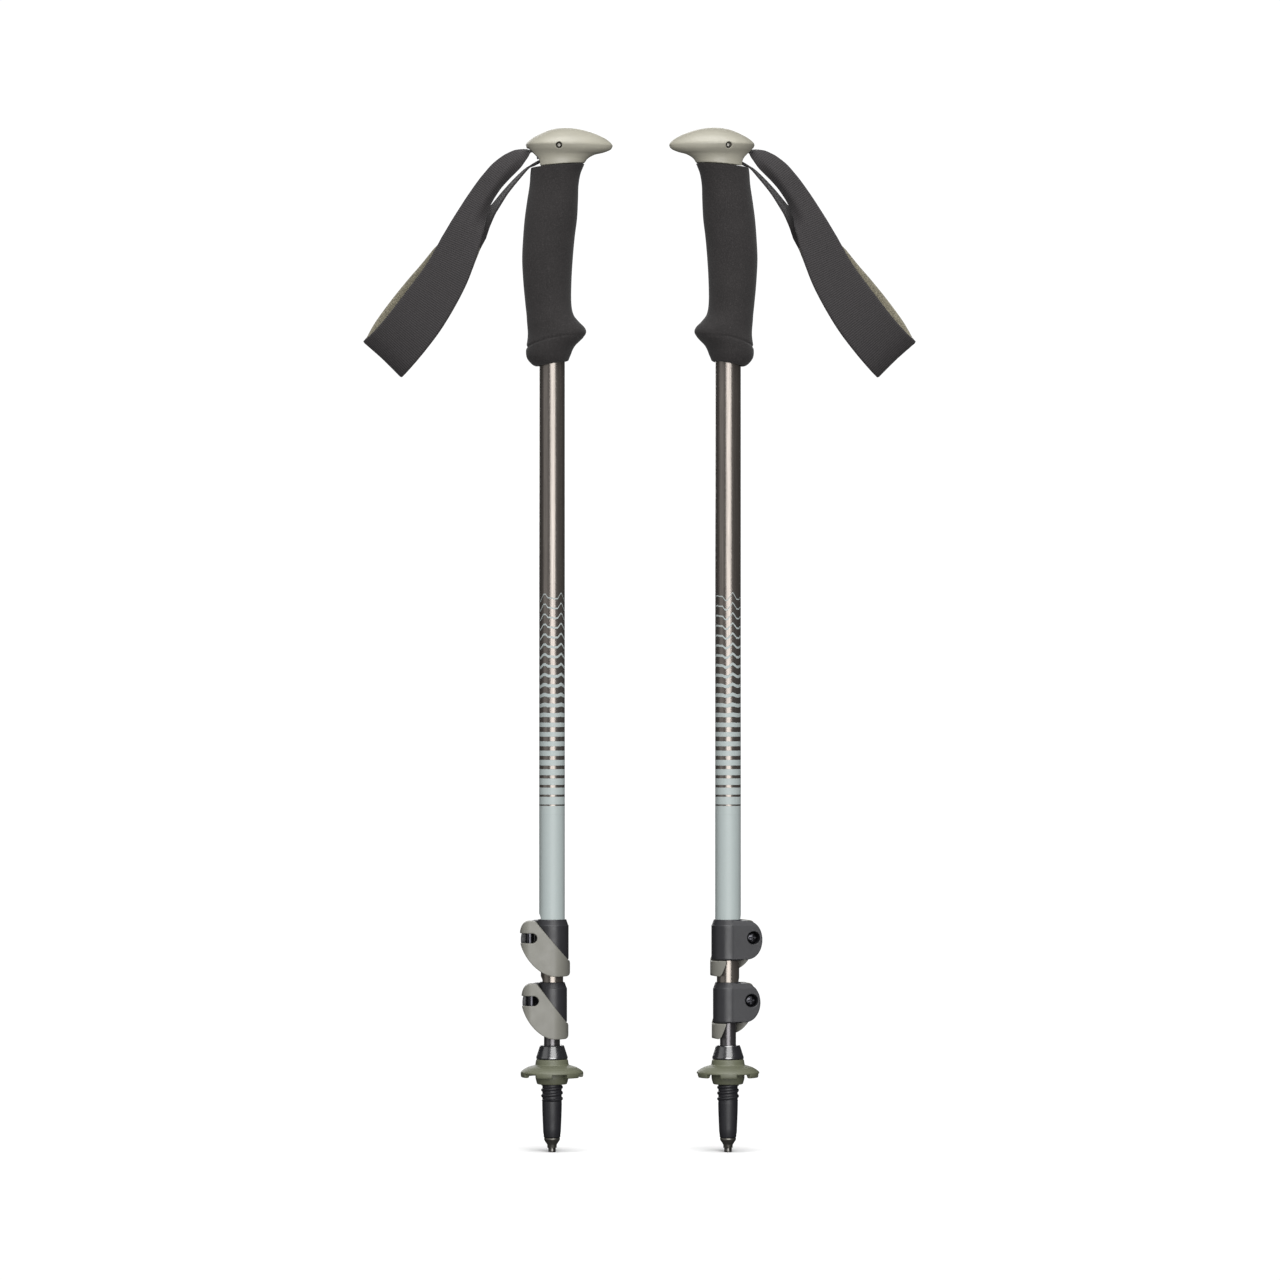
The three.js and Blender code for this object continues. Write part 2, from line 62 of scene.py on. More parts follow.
# ---------------------------------------------------------------- sizes, in millimetres
UPPER_R = 8.0
MIDDLE_R = 7.0
LOWER_R = 6.0
LOWER_END_R = 5.0
SHAFT_WALL = 0.8
SHAFT_TOP = 612
MIDDLE_TOP = 580.1
LOWER_TOP = 540.9
UPPER_CLAMP = {"base": 120.1, "collar": 10.4, "shaft": UPPER_R, "inside": MIDDLE_R}
LOWER_CLAMP = {"base": 80.9, "collar": 9.4, "shaft": MIDDLE_R, "inside": LOWER_R}
CLAMP_HEIGHT = 25.4
CLAMP_LIP = 3.6
PIN_X = 4.6
PIN_Z = 628.1
STRAP_EXIT_X = -13.0
WEBBING = 1.4
LINING = 1.8
LAYER_GAP = 0.5
RIB_PITCH = 1.3
RIB_HEIGHT = 0.15
SHAFT_CLEARANCE = 0.15  # between a shaft and what holds it
CURVE_TURN = 0.37  # of a step, so that no two round pieces share an edge's place


# ---------------------------------------------------------------- where things go
def placement(side):
    """The matrix from a pole's own frame, in metres, to the row's frame."""
    foot = Vector(MOUNTS[f"{side}_tip_face"]["pos_m"])
    across = JOINTS[f"{side}_upper_screw_turn"]["axis"]
    return Matrix.Translation(foot) @ Matrix.Rotation(math.atan2(-across[0], across[1]), 4, "Z")


def strap_placement(side):
    """The same for a strap, which may be turned about the upright line through its exit."""
    joint = JOINTS[f"{side}_strap_swing"]
    exit_x, exit_y, _ = joint["pos_m"]
    foot_z = MOUNTS[f"{side}_tip_face"]["pos_m"][2]
    turn = math.atan2(-joint["axis"][0], joint["axis"][1])
    upright = Matrix.Translation((exit_x, exit_y, foot_z)) @ Matrix.Rotation(turn, 4, "Z")
    return upright @ Matrix.Translation((-STRAP_EXIT_X * MM, 0, 0))


# ---------------------------------------------------------------- mesh building, in millimetres
def new_object(name, points, faces, uvs=None):
    mesh = bpy.data.meshes.new(name)
    mesh.from_pydata([tuple(p) for p in points], [], faces)
    if uvs:
        layer = mesh.uv_layers.new(name="UVMap")
        layer.data.foreach_set("uv", [value for uv in uvs for value in uv])
    mesh.update()
    obj = bpy.data.objects.new(name, mesh)
    SCENE.collection.objects.link(obj)
    return obj


def remove(obj):
    mesh = obj.data
    bpy.data.objects.remove(obj)
    bpy.data.meshes.remove(mesh)


def applied(obj):
    """obj with its modifiers made part of its mesh."""
    bpy.context.view_layer.update()
    seen = obj.evaluated_get(bpy.context.evaluated_depsgraph_get())
    made = bpy.data.meshes.new_from_object(seen)
    old = obj.data
    obj.modifiers.clear()
    obj.data = made
    bpy.data.meshes.remove(old)
    return obj


def combined(obj, operation, tools):
    for tool in tools:
        boolean = obj.modifiers.new("boolean", "BOOLEAN")
        boolean.operation = operation
        boolean.solver = "EXACT"
        boolean.object = tool
        applied(obj)
        remove(tool)
    return obj


def joined(obj, *tools):
    return combined(obj, "UNION", tools)


def cut(obj, *tools):
    return combined(obj, "DIFFERENCE", tools)


def kept(obj, *tools):
    return combined(obj, "INTERSECT", tools)


def softened(obj, voxel, passes):
    """obj remeshed finely, with every edge a little round, as moulding leaves it."""
    remesh = obj.modifiers.new("remesh", "REMESH")
    remesh.mode = "VOXEL"
    remesh.voxel_size = voxel
    smooth = obj.modifiers.new("smooth", "SMOOTH")
    smooth.factor = 0.5
    smooth.iterations = passes
    applied(obj)
    return obj


def bevelled(obj, width, segments=2, degrees=32):
    bevel = obj.modifiers.new("bevel", "BEVEL")
    bevel.width = width
    bevel.segments = segments
    bevel.limit_method = "ANGLE"
    bevel.angle_limit = math.radians(degrees)
    bevel.use_clamp_overlap = True
    return applied(obj)


def smooth_shaded(obj, degrees=35):
    """Smooth shading, with edges sharper than that left crisp."""
    mesh = obj.data
    mesh.shade_smooth()
    mesh.set_sharp_from_angle(angle=math.radians(degrees))
    return obj


def grid(name, rings, uv, wrapped=False):
    """A closed skin over rings of points. uv(row, column) gives the texture place of a point.

    The first and last rings are capped, or joined to each other where the rows are wrapped.
    """
    sides = len(rings[0])
    rows = len(rings)
    faces = []
    uvs = []
    for row in range(rows if wrapped else rows - 1):
        low, high = row * sides, (row + 1) % rows * sides
        for column in range(sides):
            after = (column + 1) % sides
            faces.append((low + column, low + after, high + after, high + column))
            uvs += [uv(row, column), uv(row, column + 1), uv(row + 1, column + 1), uv(row + 1, column)]
    if not wrapped:
        last = (rows - 1) * sides
        faces.append(tuple(reversed(range(sides))))
        faces.append(tuple(range(last, last + sides)))
        uvs += [uv(0, column) for column in reversed(range(sides))]
        uvs += [uv(rows - 1, column) for column in range(sides)]
    return new_object(name, [p for ring in rings for p in ring], faces, uvs)


def circle(r, z, sides, offset=0.0):
    angles = [math.tau * (k + offset) / sides for k in range(sides)]
    return [(r * math.cos(angle), r * math.sin(angle), z) for angle in angles]


def turned(name, outline, sides=96, offset=0.0):
    """A solid of revolution about Z from an outline of (radius, z), run anticlockwise.

    It is closed with flat ends where the outline starts on the axis, and a ring otherwise.
    u goes once round it, and v is z in metres.
    """
    rings = [circle(r, z, sides, offset) for r, z in outline if r > 0]

    def uv(row, column):
        return (column / sides, rings[row % len(rings)][0][2] * MM)

    return grid(name, rings, uv, wrapped=outline[0][0] > 0)


def rod(r, low, high, at=(0, 0), sides=96):
    made = turned("rod", [(0, low), (r, low), (r, high), (0, high)], sides, CURVE_TURN)
    made.data.transform(Matrix.Translation((at[0], at[1], 0)))
    return made


def cross_rod(r, low, high, x, z, sides=64):
    """A round bar along Y, at x and z."""
    made = turned("bar", [(0, low), (r, low), (r, high), (0, high)], sides, CURVE_TURN)
    made.data.transform(Matrix.Translation((x, 0, z)) @ Matrix.Rotation(-math.pi / 2, 4, "X"))
    return made


def block(x0, x1, y0, y1, z0, z1):
    return raised([(x0, y0), (x1, y0), (x1, y1), (x0, y1)], z0, z1)


def raised(outline, low, high):
    """An outline in XY, raised from low to high along Z."""
    count = len(outline)
    points = [(x, y, z) for z in (low, high) for x, y in outline]
    faces = [tuple(reversed(range(count))), tuple(range(count, 2 * count))]
    faces += [(k, (k + 1) % count, count + (k + 1) % count, count + k) for k in range(count)]
    return new_object("raised", points, faces)


def through(outline, y0, y1):
    """An outline drawn in XZ, reaching from y0 to y1."""
    made = raised(outline, -y1, -y0)
    made.data.transform(Matrix.Rotation(math.pi / 2, 4, "X"))
    return made


def bezier(start, *controls, steps=16):
    """Points after start on a quadratic or cubic curve."""
    points = [Vector(start), *map(Vector, controls)]
    made = []
    for k in range(1, steps + 1):
        t = k / steps
        level = points
        while len(level) > 1:
            level = [a.lerp(b, t) for a, b in zip(level, level[1:])]
        made.append(tuple(level[0]))
    return made


def arc(x, y, rx, ry, start, end, steps=24):
    """Points on an ellipse's arc, with angles in degrees."""
    made = []
    for k in range(steps + 1):
        angle = math.radians(start + (end - start) * k / steps)
        made.append((x + rx * math.cos(angle), y + ry * math.sin(angle)))
    return made


def smooth_table(stations, steps):
    """Rows of numbers with steps smooth rows between each pair."""
    rows = []
    for k in range(len(stations) - 1):
        before, a, b, after = (stations[min(max(k + d, 0), len(stations) - 1)] for d in (-1, 0, 1, 2))
        for step in range(steps):
            t = step / steps
            row = []
            for p, q, r, s in zip(before, a, b, after):
                bend = (r - p + (2 * p - 5 * q + 4 * r - s + (3 * (q - r) + s - p) * t) * t) * t
                row.append(q + 0.5 * bend)
            rows.append(row)
    return rows + [list(stations[-1])]


# ---------------------------------------------------------------- materials
class Nodes:
    """A tree of shader nodes, added and linked by name."""

    def __init__(self, owner):
        owner.use_nodes = True
        self.tree = owner.node_tree

    def add(self, kind, settings=None, output=0, **inputs):
        node = self.tree.nodes.new(kind)
        for key, value in (settings or {}).items():
            setattr(node, key, value)
        for key, value in inputs.items():
            self.set(node, key, value)
        return node.outputs[output]

    def set(self, node, key, value):
        socket = node.inputs[int(key[1:])] if key[0] == "i" and key[1:].isdigit() else node.inputs[key]
        if isinstance(value, bpy.types.NodeSocket):
            self.tree.links.new(value, socket)
        else:
            socket.default_value = value

    def math(self, operation, a, b=0.0):
        return self.add("ShaderNodeMath", {"operation": operation}, i0=a, i1=b)

    def noise(self, scale, detail=3.0, where=None, roughness=0.5):
        where = where or self.add("ShaderNodeTexCoord", output=3)
        return self.add("ShaderNodeTexNoise", Vector=where, Scale=scale, Detail=detail, Roughness=roughness)

    def mix(self, share, a, b):
        return self.add("ShaderNodeMix", {"data_type": "RGBA"}, output=2, i0=share, i6=a, i7=b)

    def spread(self, value, low, high, to_low=0.0, to_high=1.0):
        """value taken from low..high to to_low..to_high."""
        return self.add("ShaderNodeMapRange", i0=value, i1=low, i2=high, i3=to_low, i4=to_high)

    def bump(self, height, distance, strength=1.0, normal=None):
        """distance is in millimetres."""
        extra = {"Normal": normal} if normal else {}
        return self.add("ShaderNodeBump", Height=height, Distance=distance * MM, Strength=strength, **extra)

    def light_path(self, name):
        return self.tree.nodes.new("ShaderNodeLightPath").outputs[name]


class Graph(Nodes):
    """A material's nodes, with its shader's inputs set by name."""

    def __init__(self, name):
        self.material = bpy.data.materials.new(name)
        super().__init__(self.material)
        self.shader = self.tree.nodes["Principled BSDF"]

    def shade(self, **inputs):
        for key, value in inputs.items():
            self.set(self.shader, key.replace("_", " "), value)
        return self.material


def rgb(r, g, b):
    """A colour as seen, 0 to 255, as light."""
    def light(value):
        value /= 255
        return value / 12.92 if value <= 0.04045 else ((value + 0.055) / 1.055) ** 2.4
    return (light(r), light(g), light(b), 1.0)


def scaled(color, share):
    return (*(min(part * share, 1) for part in color[:3]), 1.0)


def moulded(name, color, roughness, grain=0.02, coat=0.0, coat_ior=1.5, edge_highlight_share=0.12):
    """Moulded plastic: spark-eroded grain, slow variation of tone, and its convex edges painted a little lighter,
    as a highlight.
    """
    g = Graph(name)
    tone = g.noise(38.0, 4.0)
    fine = g.noise(2600.0, 2.0)
    base = g.mix(g.spread(tone, 0.3, 0.7), scaled(color, 0.93), scaled(color, 1.07))
    speckled = g.mix(g.spread(fine, 0.35, 0.75, 0.0, 0.25), base, scaled(color, 1.25))
    # convex edges are painted lighter, as a highlight
    edge = g.add("ShaderNodeNewGeometry", output=7)
    edge_highlight = g.mix(g.spread(edge, 0.52, 0.62, 0.0, edge_highlight_share), speckled, scaled(color, 1.9))
    scuff = g.noise(160.0, 5.0)
    return g.shade(
        Base_Color=edge_highlight,
        Roughness=g.spread(scuff, 0.3, 0.7, roughness - 0.06, roughness + 0.06),
        Coat_Weight=coat,
        Coat_Roughness=0.22,
        Coat_IOR=coat_ior,
        Normal=g.bump(fine, grain),
    )


def foam_material():
    """Closed-cell foam: a matt skin of tiny cells, with a few larger pits."""
    g = Graph("grip_foam_cells")
    where = g.add("ShaderNodeTexCoord", output=3)
    cells = g.add("ShaderNodeTexVoronoi", Vector=where, Scale=1500.0)
    fine = g.noise(3200.0, 2.0, where)
    slow = g.noise(60.0, 3.0, where)
    color = rgb(35, 33, 33)
    base = g.mix(g.spread(slow, 0.3, 0.7), scaled(color, 0.85), scaled(color, 1.15))
    specks = g.spread(fine, 0.5, 0.8, 0.0, 0.45)
    height = g.math("ADD", g.math("MULTIPLY", cells, 0.6), fine)
    return g.shade(
        Base_Color=g.mix(specks, base, rgb(96, 92, 92)),
        Roughness=0.92,
        Specular_IOR_Level=0.3,
        Sheen_Weight=0.1,
        Sheen_Roughness=0.5,
        Normal=g.bump(height, 0.06, 0.8),
    )


def webbing_material():
    """Black webbing: u is across it and v along it, in metres. The top of each rib is painted lighter, as a
    highlight, flecked by fuzz.
    """
    g = Graph("strap_webbing_yarn")
    where = g.add("ShaderNodeUVMap")
    bands = {"bands_direction": "X"}
    yarns = g.add("ShaderNodeTexWave", bands, output=1, Vector=where, Scale=330.0, Distortion=1.5)
    ribs = g.add("ShaderNodeAttribute", {"attribute_name": "rib"}, output=2)
    fuzz = g.noise(4200.0, 3.0)
    # bright is the colour painted on the rib tops, as a highlight
    dark, bright = rgb(26, 24, 25), rgb(66, 63, 64)
    painted_rib_highlight = g.math("MULTIPLY", ribs, g.spread(fuzz, 0.3, 0.75, 0.35, 1.0))
    return g.shade(
        Base_Color=g.mix(painted_rib_highlight, dark, bright),
        Roughness=0.82,
        Specular_IOR_Level=0.35,
        Sheen_Weight=0.15,
        Sheen_Roughness=0.4,
        Normal=g.bump(g.math("ADD", yarns, fuzz), 0.07),
    )


def lining_material():
    """A soft knitted lining, flecked with lighter and darker yarn."""
    g = Graph("strap_lining_knit")
    flecks = g.noise(1500.0, 3.0, roughness=0.75)
    loops = g.add("ShaderNodeTexVoronoi", Vector=g.add("ShaderNodeTexCoord", output=3), Scale=1700.0)
    dark, bright = rgb(74, 71, 60), rgb(142, 136, 116)
    return g.shade(
        Base_Color=g.mix(g.spread(flecks, 0.35, 0.68), dark, bright),
        Roughness=0.95,
        Sheen_Weight=0.4,
        Sheen_Roughness=0.5,
        Normal=g.bump(g.math("ADD", loops, flecks), 0.12),
    )


def anodised_material(name, color, roughness):
    """Drawn and anodised tube: fine lines along it, and faint cloudiness."""
    g = Graph(name)
    where = g.add("ShaderNodeTexCoord", output=3)
    stretched = g.add("ShaderNodeMapping", Vector=where, Scale=(1.0, 1.0, 0.02))
    lines = g.noise(2400.0, 3.0, stretched)
    clouds = g.noise(30.0, 3.0, where)
    base = g.mix(g.spread(clouds, 0.3, 0.7), scaled(color, 0.9), scaled(color, 1.1))
    return g.shade(
        Base_Color=g.mix(g.spread(lines, 0.35, 0.7, 0.0, 0.3), base, scaled(color, 1.5)),
        Metallic=0.8,
        Roughness=g.spread(lines, 0.3, 0.7, roughness - 0.05, roughness + 0.05),
        Normal=g.bump(lines, 0.004),
    )


PAINT_TOP = 0.349  # heights of the painted pattern, in metres above the point
PAINT_LOW = 0.211
LINE_PITCH = 0.0059
FLAT_BELOW = 0.4  # the share of the pattern's height over which its lines are plain rings


def painted_shaft_material():
    """Pale paint that breaks into thinner and more jagged lines up the shaft, over dark anodising."""
    g = Graph("upper_shaft_paint")
    uv = g.add("ShaderNodeUVMap")
    across = g.add("ShaderNodeSeparateXYZ", output=0, Vector=uv)
    up = g.add("ShaderNodeSeparateXYZ", output=1, Vector=uv)
    climb = g.spread(up, PAINT_LOW, PAINT_TOP)

    def zigzag(turns, offset, height):
        phase = g.math("ADD", g.math("MULTIPLY", across, turns), offset)
        return g.math("MULTIPLY", g.math("PINGPONG", phase, 0.5), 2 * height)

    jagged = g.math("ADD", zigzag(5.0, 0.15, 0.0038), zigzag(8.0, 0.4, 0.0022))
    lift = g.math("MULTIPLY", jagged, g.spread(climb, FLAT_BELOW, 1.0))
    row = g.math("DIVIDE", g.math("SUBTRACT", g.math("SUBTRACT", up, PAINT_LOW), lift), LINE_PITCH)
    place = g.math("ABSOLUTE", g.math("SUBTRACT", g.math("FRACT", row), 0.5))
    width = g.math("SUBTRACT", 0.5, g.math("MULTIPLY", g.math("POWER", climb, 0.55), 0.45))
    line = g.math("LESS_THAN", place, width)
    below = g.math("LESS_THAN", row, 0.0)
    top_row = round((PAINT_TOP - PAINT_LOW) / LINE_PITCH) - 0.01
    inside = g.math("LESS_THAN", row, top_row)
    paint = g.math("MAXIMUM", g.math("MULTIPLY", line, inside), below)
    where = g.add("ShaderNodeTexCoord", output=3)
    speckle = g.noise(3000.0, 2.0, where)
    stretched = g.add("ShaderNodeMapping", Vector=where, Scale=(1.0, 1.0, 0.02))
    drawn = g.noise(2200.0, 3.0, stretched)
    pale, dark = rgb(157, 166, 165), rgb(117, 111, 106)
    painted = g.mix(g.spread(speckle, 0.35, 0.7), scaled(pale, 0.95), scaled(pale, 1.04))
    metal = g.mix(g.spread(drawn, 0.35, 0.7), scaled(dark, 0.9), scaled(dark, 1.25))
    flat = g.bump(drawn, 0.003)
    return g.shade(
        Base_Color=g.mix(paint, metal, painted),
        Metallic=g.spread(paint, 0.0, 1.0, 0.8, 0.0),
        Roughness=g.spread(paint, 0.0, 1.0, 0.27, 0.55),
        Coat_Weight=g.spread(paint, 0.0, 1.0, 0.0, 0.1),
        Coat_Roughness=0.3,
        Normal=g.bump(paint, 0.03, 1.0, flat),
    )


def steel_material(name, color, roughness):
    """Turned steel, with fine rings round it and a little dirt."""
    g = Graph(name)
    where = g.add("ShaderNodeTexCoord", output=3)
    stretched = g.add("ShaderNodeMapping", Vector=where, Scale=(0.05, 0.05, 1.0))
    rings = g.noise(6000.0, 2.0, stretched)
    dirt = g.noise(500.0, 4.0, where)
    return g.shade(
        Base_Color=g.mix(g.spread(dirt, 0.45, 0.75), color, scaled(color, 0.55)),
        Metallic=0.95,
        Roughness=g.spread(rings, 0.3, 0.7, roughness - 0.06, roughness + 0.08),
        Normal=g.bump(rings, 0.006),
    )


# the glossy ferrule gets less of the painted edge highlight
FERRULE_GLOSS = {"coat": 1.0, "coat_ior": 2.2, "edge_highlight_share": 0.05}
MATERIALS = {
    "cap_plastic": moulded("grip_cap_plastic", rgb(155, 152, 139), 0.45, 0.006),
    "foam": foam_material(),
    "webbing": webbing_material(),
    "lining": lining_material(),
    "painted_shaft": painted_shaft_material(),
    "black_shaft": anodised_material("shaft_black_anodised", rgb(92, 90, 92), 0.3),
    "bronze_shaft": anodised_material("shaft_bronze_anodised", rgb(122, 116, 110), 0.27),
    "collar_plastic": moulded("collar_plastic_charcoal", rgb(38, 38, 41), 0.42, 0.02),
    "lever_plastic": moulded("lever_plastic_grey", rgb(114, 113, 106), 0.48, 0.015),
    "basket_plastic": moulded("basket_plastic_olive", rgb(89, 91, 74), 0.5, 0.015),
    "tip_plastic": moulded("flex_tip_plastic", rgb(32, 32, 36), 0.5, 0.02),
    "gloss_plastic": moulded("ferrule_plastic_gloss", rgb(26, 26, 30), 0.3, 0.004, **FERRULE_GLOSS),
    "nylon": moulded("wedge_nylon", rgb(88, 89, 90), 0.5),
    "steel": steel_material("tip_steel", rgb(128, 126, 120), 0.45),
    "black_steel": steel_material("screw_black_oxide", rgb(64, 64, 68), 0.2),
    "carbide": steel_material("carbide_ground", rgb(128, 126, 122), 0.3),
}


# ---------------------------------------------------------------- putting a piece in its place
def place(obj, side, name, body, slot, nodes=None, mirrored=False, where=None, look=None):
    """obj, made in millimetres in the pole's frame, becomes the piece of that side in place of its CAD nodes.

    slot is the kind of material, and look is another material of the table where the piece looks different.
    """
    mesh = obj.data
    if mirrored:
        mesh.transform(Matrix.Scale(-1, 4, (0, 1, 0)))
        mesh.flip_normals()
    mesh.transform(Matrix.Scale(MM, 4))
    obj.name = f"{side}_{name}_looks"
    mesh.name = obj.name
    mesh.materials.clear()
    mesh.materials.append(MATERIALS[look or slot])
    obj.matrix_world = where or placement(side)
    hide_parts(*(f"{side}_{node}" for node in nodes or [name]))
    if body:
        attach(obj, f"{side}_{body}")
    return obj


def on_both_sides(make, name, body, slot, look=None):
    """The same piece on each pole."""
    first = make()
    second = bpy.data.objects.new("copy", first.data.copy())
    SCENE.collection.objects.link(second)
    for side, obj in zip(SIDES, (first, second)):
        place(obj, side, name, body, slot, look=look)


# ---------------------------------------------------------------- grip
CAP_STATIONS = [  # z, back, front, half width, narrowing towards the beak, tilt
    (616.6, -10.2, 20.4, 12.4, 0.00, 0.075),
    (619.0, -10.3, 21.8, 12.5, 0.02, 0.06),
    (621.0, -11.0, 23.9, 12.9, 0.05, 0.04),
    (623.0, -12.5, 27.4, 13.9, 0.10, 0.02),
    (624.6, -13.8, 32.2, 15.4, 0.17, 0.00),
    (626.4, -15.3, 36.6, 17.2, 0.23, 0.00),
    (628.6, -16.3, 37.9, 18.5, 0.26, 0.00),
    (629.6, -16.4, 37.6, 18.7, 0.26, 0.00),
    (631.2, -15.3, 36.2, 17.8, 0.25, 0.00),
    (633.4, -12.6, 33.2, 15.8, 0.23, 0.00),
    (635.4, -9.0, 29.2, 13.2, 0.20, 0.00),
    (637.4, -4.9, 23.9, 10.0, 0.16, 0.00),
    (638.9, -0.6, 18.4, 6.6, 0.10, 0.00),
    (639.7, 3.6, 13.6, 3.6, 0.04, 0.00),
    (640.0, 8.2, 9.0, 0.3, 0.00, 0.00),
]
FOAM_STATIONS = [  # z, back, front, half width, tilt
    (492.6, -8.6, 8.9, 9.0, 0.17),
    (492.9, -10.6, 10.2, 10.6, 0.17),
    (494.6, -13.0, 10.9, 12.0, 0.15),
    (497.5, -15.5, 12.0, 13.4, 0.11),
    (500.5, -16.3, 13.0, 14.1, 0.07),
    (504.0, -16.0, 14.8, 14.4, 0.02),
    (507.0, -15.5, 17.6, 14.4, 0.00),
    (510.0, -15.2, 20.4, 14.3, 0.00),
    (512.8, -15.2, 21.4, 14.1, 0.00),
    (515.6, -15.4, 20.2, 13.8, 0.00),
    (519.0, -15.7, 16.8, 13.5, 0.00),
    (523.6, -16.0, 13.4, 13.3, 0.00),
    (531.0, -16.8, 12.1, 13.3, 0.00),
    (544.0, -18.0, 12.2, 13.7, 0.00),
    (558.0, -18.7, 13.0, 14.1, 0.00),
    (571.4, -18.1, 14.2, 14.2, 0.00),
    (583.4, -17.1, 15.7, 14.1, 0.00),
    (595.0, -15.5, 16.3, 13.8, 0.00),
    (604.0, -14.1, 16.6, 13.4, 0.00),
    (611.0, -13.6, 17.8, 13.1, 0.01),
    (614.6, -13.3, 19.6, 12.9, 0.06),
    (615.9, -13.0, 20.2, 12.7, 0.075),
    (616.2, -11.6, 19.0, 11.4, 0.075),
]


def oval_rings(stations, sides, steps, extra=None):
    rings = []
    for z, back, front, side, narrowing, tilt in smooth_table(stations, steps):
        ring = []
        for k in range(sides):
            angle = math.tau * k / sides
            x = (front + back) / 2 + (front - back) / 2 * math.cos(angle)
            y = side * math.sin(angle) * (1 - narrowing * math.cos(angle))
            point = Vector((x, y, z + tilt * x))
            ring.append(extra(point) if extra else point)
        rings.append(ring)
    return rings


def grip_cap():
    """The cap, with the slot that the strap leaves by and the recesses for its pin."""
    sides = 112
    rings = oval_rings(CAP_STATIONS, sides, 5)
    made = grid("cap", rings, lambda row, column: (column / sides, row * MM))
    slot = [(-24, 615), (1, 615), (8, 624), (7.5, 630.6), (2, 632), (-8, 628.4), (-12, 627.3), (-24, 627.3)]
    cut(made, through(slot, -6.9, 6.9), rod(UPPER_R + SHAFT_CLEARANCE, 600, SHAFT_TOP + 0.5))
    cut(made, cross_rod(1.95, -30, -11, PIN_X, PIN_Z), cross_rod(1.95, 11, 30, PIN_X, PIN_Z))
    return smooth_shaded(softened(made, 0.3, 16), 60)


def grip_foam():
    """The foam, with the shallow crease above its flared end."""
    sides = 128

    def creased(point):
        run = point.x + 16
        off = point.z - (503.0 + 0.46 * run - 0.0075 * run * run)
        depth = 0.7 * math.exp(-((off / 0.8) ** 2)) * max(1 - run / 38, 0.25)
        length = math.hypot(point.x, point.y)
        share = 1 - depth / max(length, 1)
        return Vector((point.x * share, point.y * share, point.z))

    stations = [(z, back, front, side, 0.0, tilt) for z, back, front, side, tilt in FOAM_STATIONS]
    rings = oval_rings(stations, sides, 9, creased)
    made = grid("foam", rings, lambda row, column: (column / sides, row * MM))
    cut(made, rod(9.65, 470, 640))
    return smooth_shaded(made, 50)


def strap_pin():
    """The pin's two ends, domed, joined by its shank."""
    half = 17.8
    dome = [(0, half), (0.1, half), (0.9, half - 0.05), (1.3, half - 0.25), (1.5, half - 0.6)]
    outline = [(r, -z) for r, z in dome] + [(r, z) for r, z in reversed(dome)]
    made = turned("pin", outline, 48)
    made.data.transform(Matrix.Translation((PIN_X, 0, PIN_Z)) @ Matrix.Rotation(-math.pi / 2, 4, "X"))
    return smooth_shaded(made, 50)


# ---------------------------------------------------------------- strap
STRAP_POINTS = [  # x, y, z, width, roll, tilt, curl of the lower edge
    (6.3, 0, 628.1, 12, 0, 33, 0),  # in front of the pin, then over it
    (5.9, 0, 629.3, 12, 0, 33, 0),
    (4.4, 0, 629.8, 12, 0, 33, 0),
    (-4.5, 0, 627.0, 12, 0, 33, 0),
    (-11.5, 0, 625.0, 12, 0, 33, 0),
    (-15.5, -0.5, 624.8, 12, 22, 33, 10),  # out of the cap
    (-20.0, -2.0, 622.8, 12, 48, 33, 30),
    (-24.8, -3.5, 619.0, 13.6, 66, 33, 50),
    (-31.2, -5.5, 612.4, 15.4, 80, 33, 62),
    (-37.2, -7.0, 604.6, 16.4, 90, 33, 64),
    (-43.0, -8.6, 596.2, 16.8, 90, 33, 58),
    (-48.6, -10.4, 586.4, 18.2, 90, 33, 34),
    (-52.6, -12.0, 577.5, 21, 90, 33, 6),
    (-57.2, -12.8, 566.3, 24.5, 90, 33, 0),
    (-65.8, -13.2, 547.4, 28, 90, 34, 0),
    (-80.5, -12.4, 524.5, 31.5, 90, 36, 0),
    (-92.0, -9.8, 509.6, 32, 90, 39, 0),
    (-101.0, -5.2, 499.8, 32.5, 90, 42, 0),
    (-105.0, 0, 496.4, 33, 90, 43, 0),  # the end of the loop
    (-102.6, 5.2, 500.2, 32.5, 90, 42, 0),
    (-98.0, 9.4, 509.4, 32, 90, 40, 0),
    (-88.2, 12.0, 523.6, 31.5, 90, 37, 0),
    (-78.4, 12.8, 536.2, 31, 90, 35, 0),
    (-70.0, 12.8, 546.0, 31, 90, 34, 0),
    (-62.9, 12.4, 557.2, 28, 90, 33, 0),
    (-55.5, 11.0, 568.0, 22.5, 88, 33, 0),
    (-47.6, 8.6, 577.2, 17, 75, 33, 0),
    (-42.4, 6.2, 583.4, 13.5, 48, 33, 0),
    (-37.0, 3.4, 590.2, 12, 26, 33, 0),
    (-29.4, 1.4, 600.6, 12, 17, 33, 0),
    (-21.0, 0.4, 610.2, 12, 12, 33, 0),
    (-15.2, 0, 615.8, 12, 6, 33, 0),
    (-10.8, 0, 618.2, 12, 0, 33, 0),  # into the cap again, and under the pin
    (-4.0, 0, 622.0, 12, 0, 33, 0),
    (2.6, 0, 626.0, 12, 0, 33, 0),
    (4.8, 0, 626.4, 12, 0, 33, 0),
    (6.0, 0, 627.1, 12, 0, 33, 0),
    (6.3, 0, 628.1, 12, 0, 33, 0),
]
LINED = (12.4, 25.4)  # the stretch that the lining covers, counted in the points above


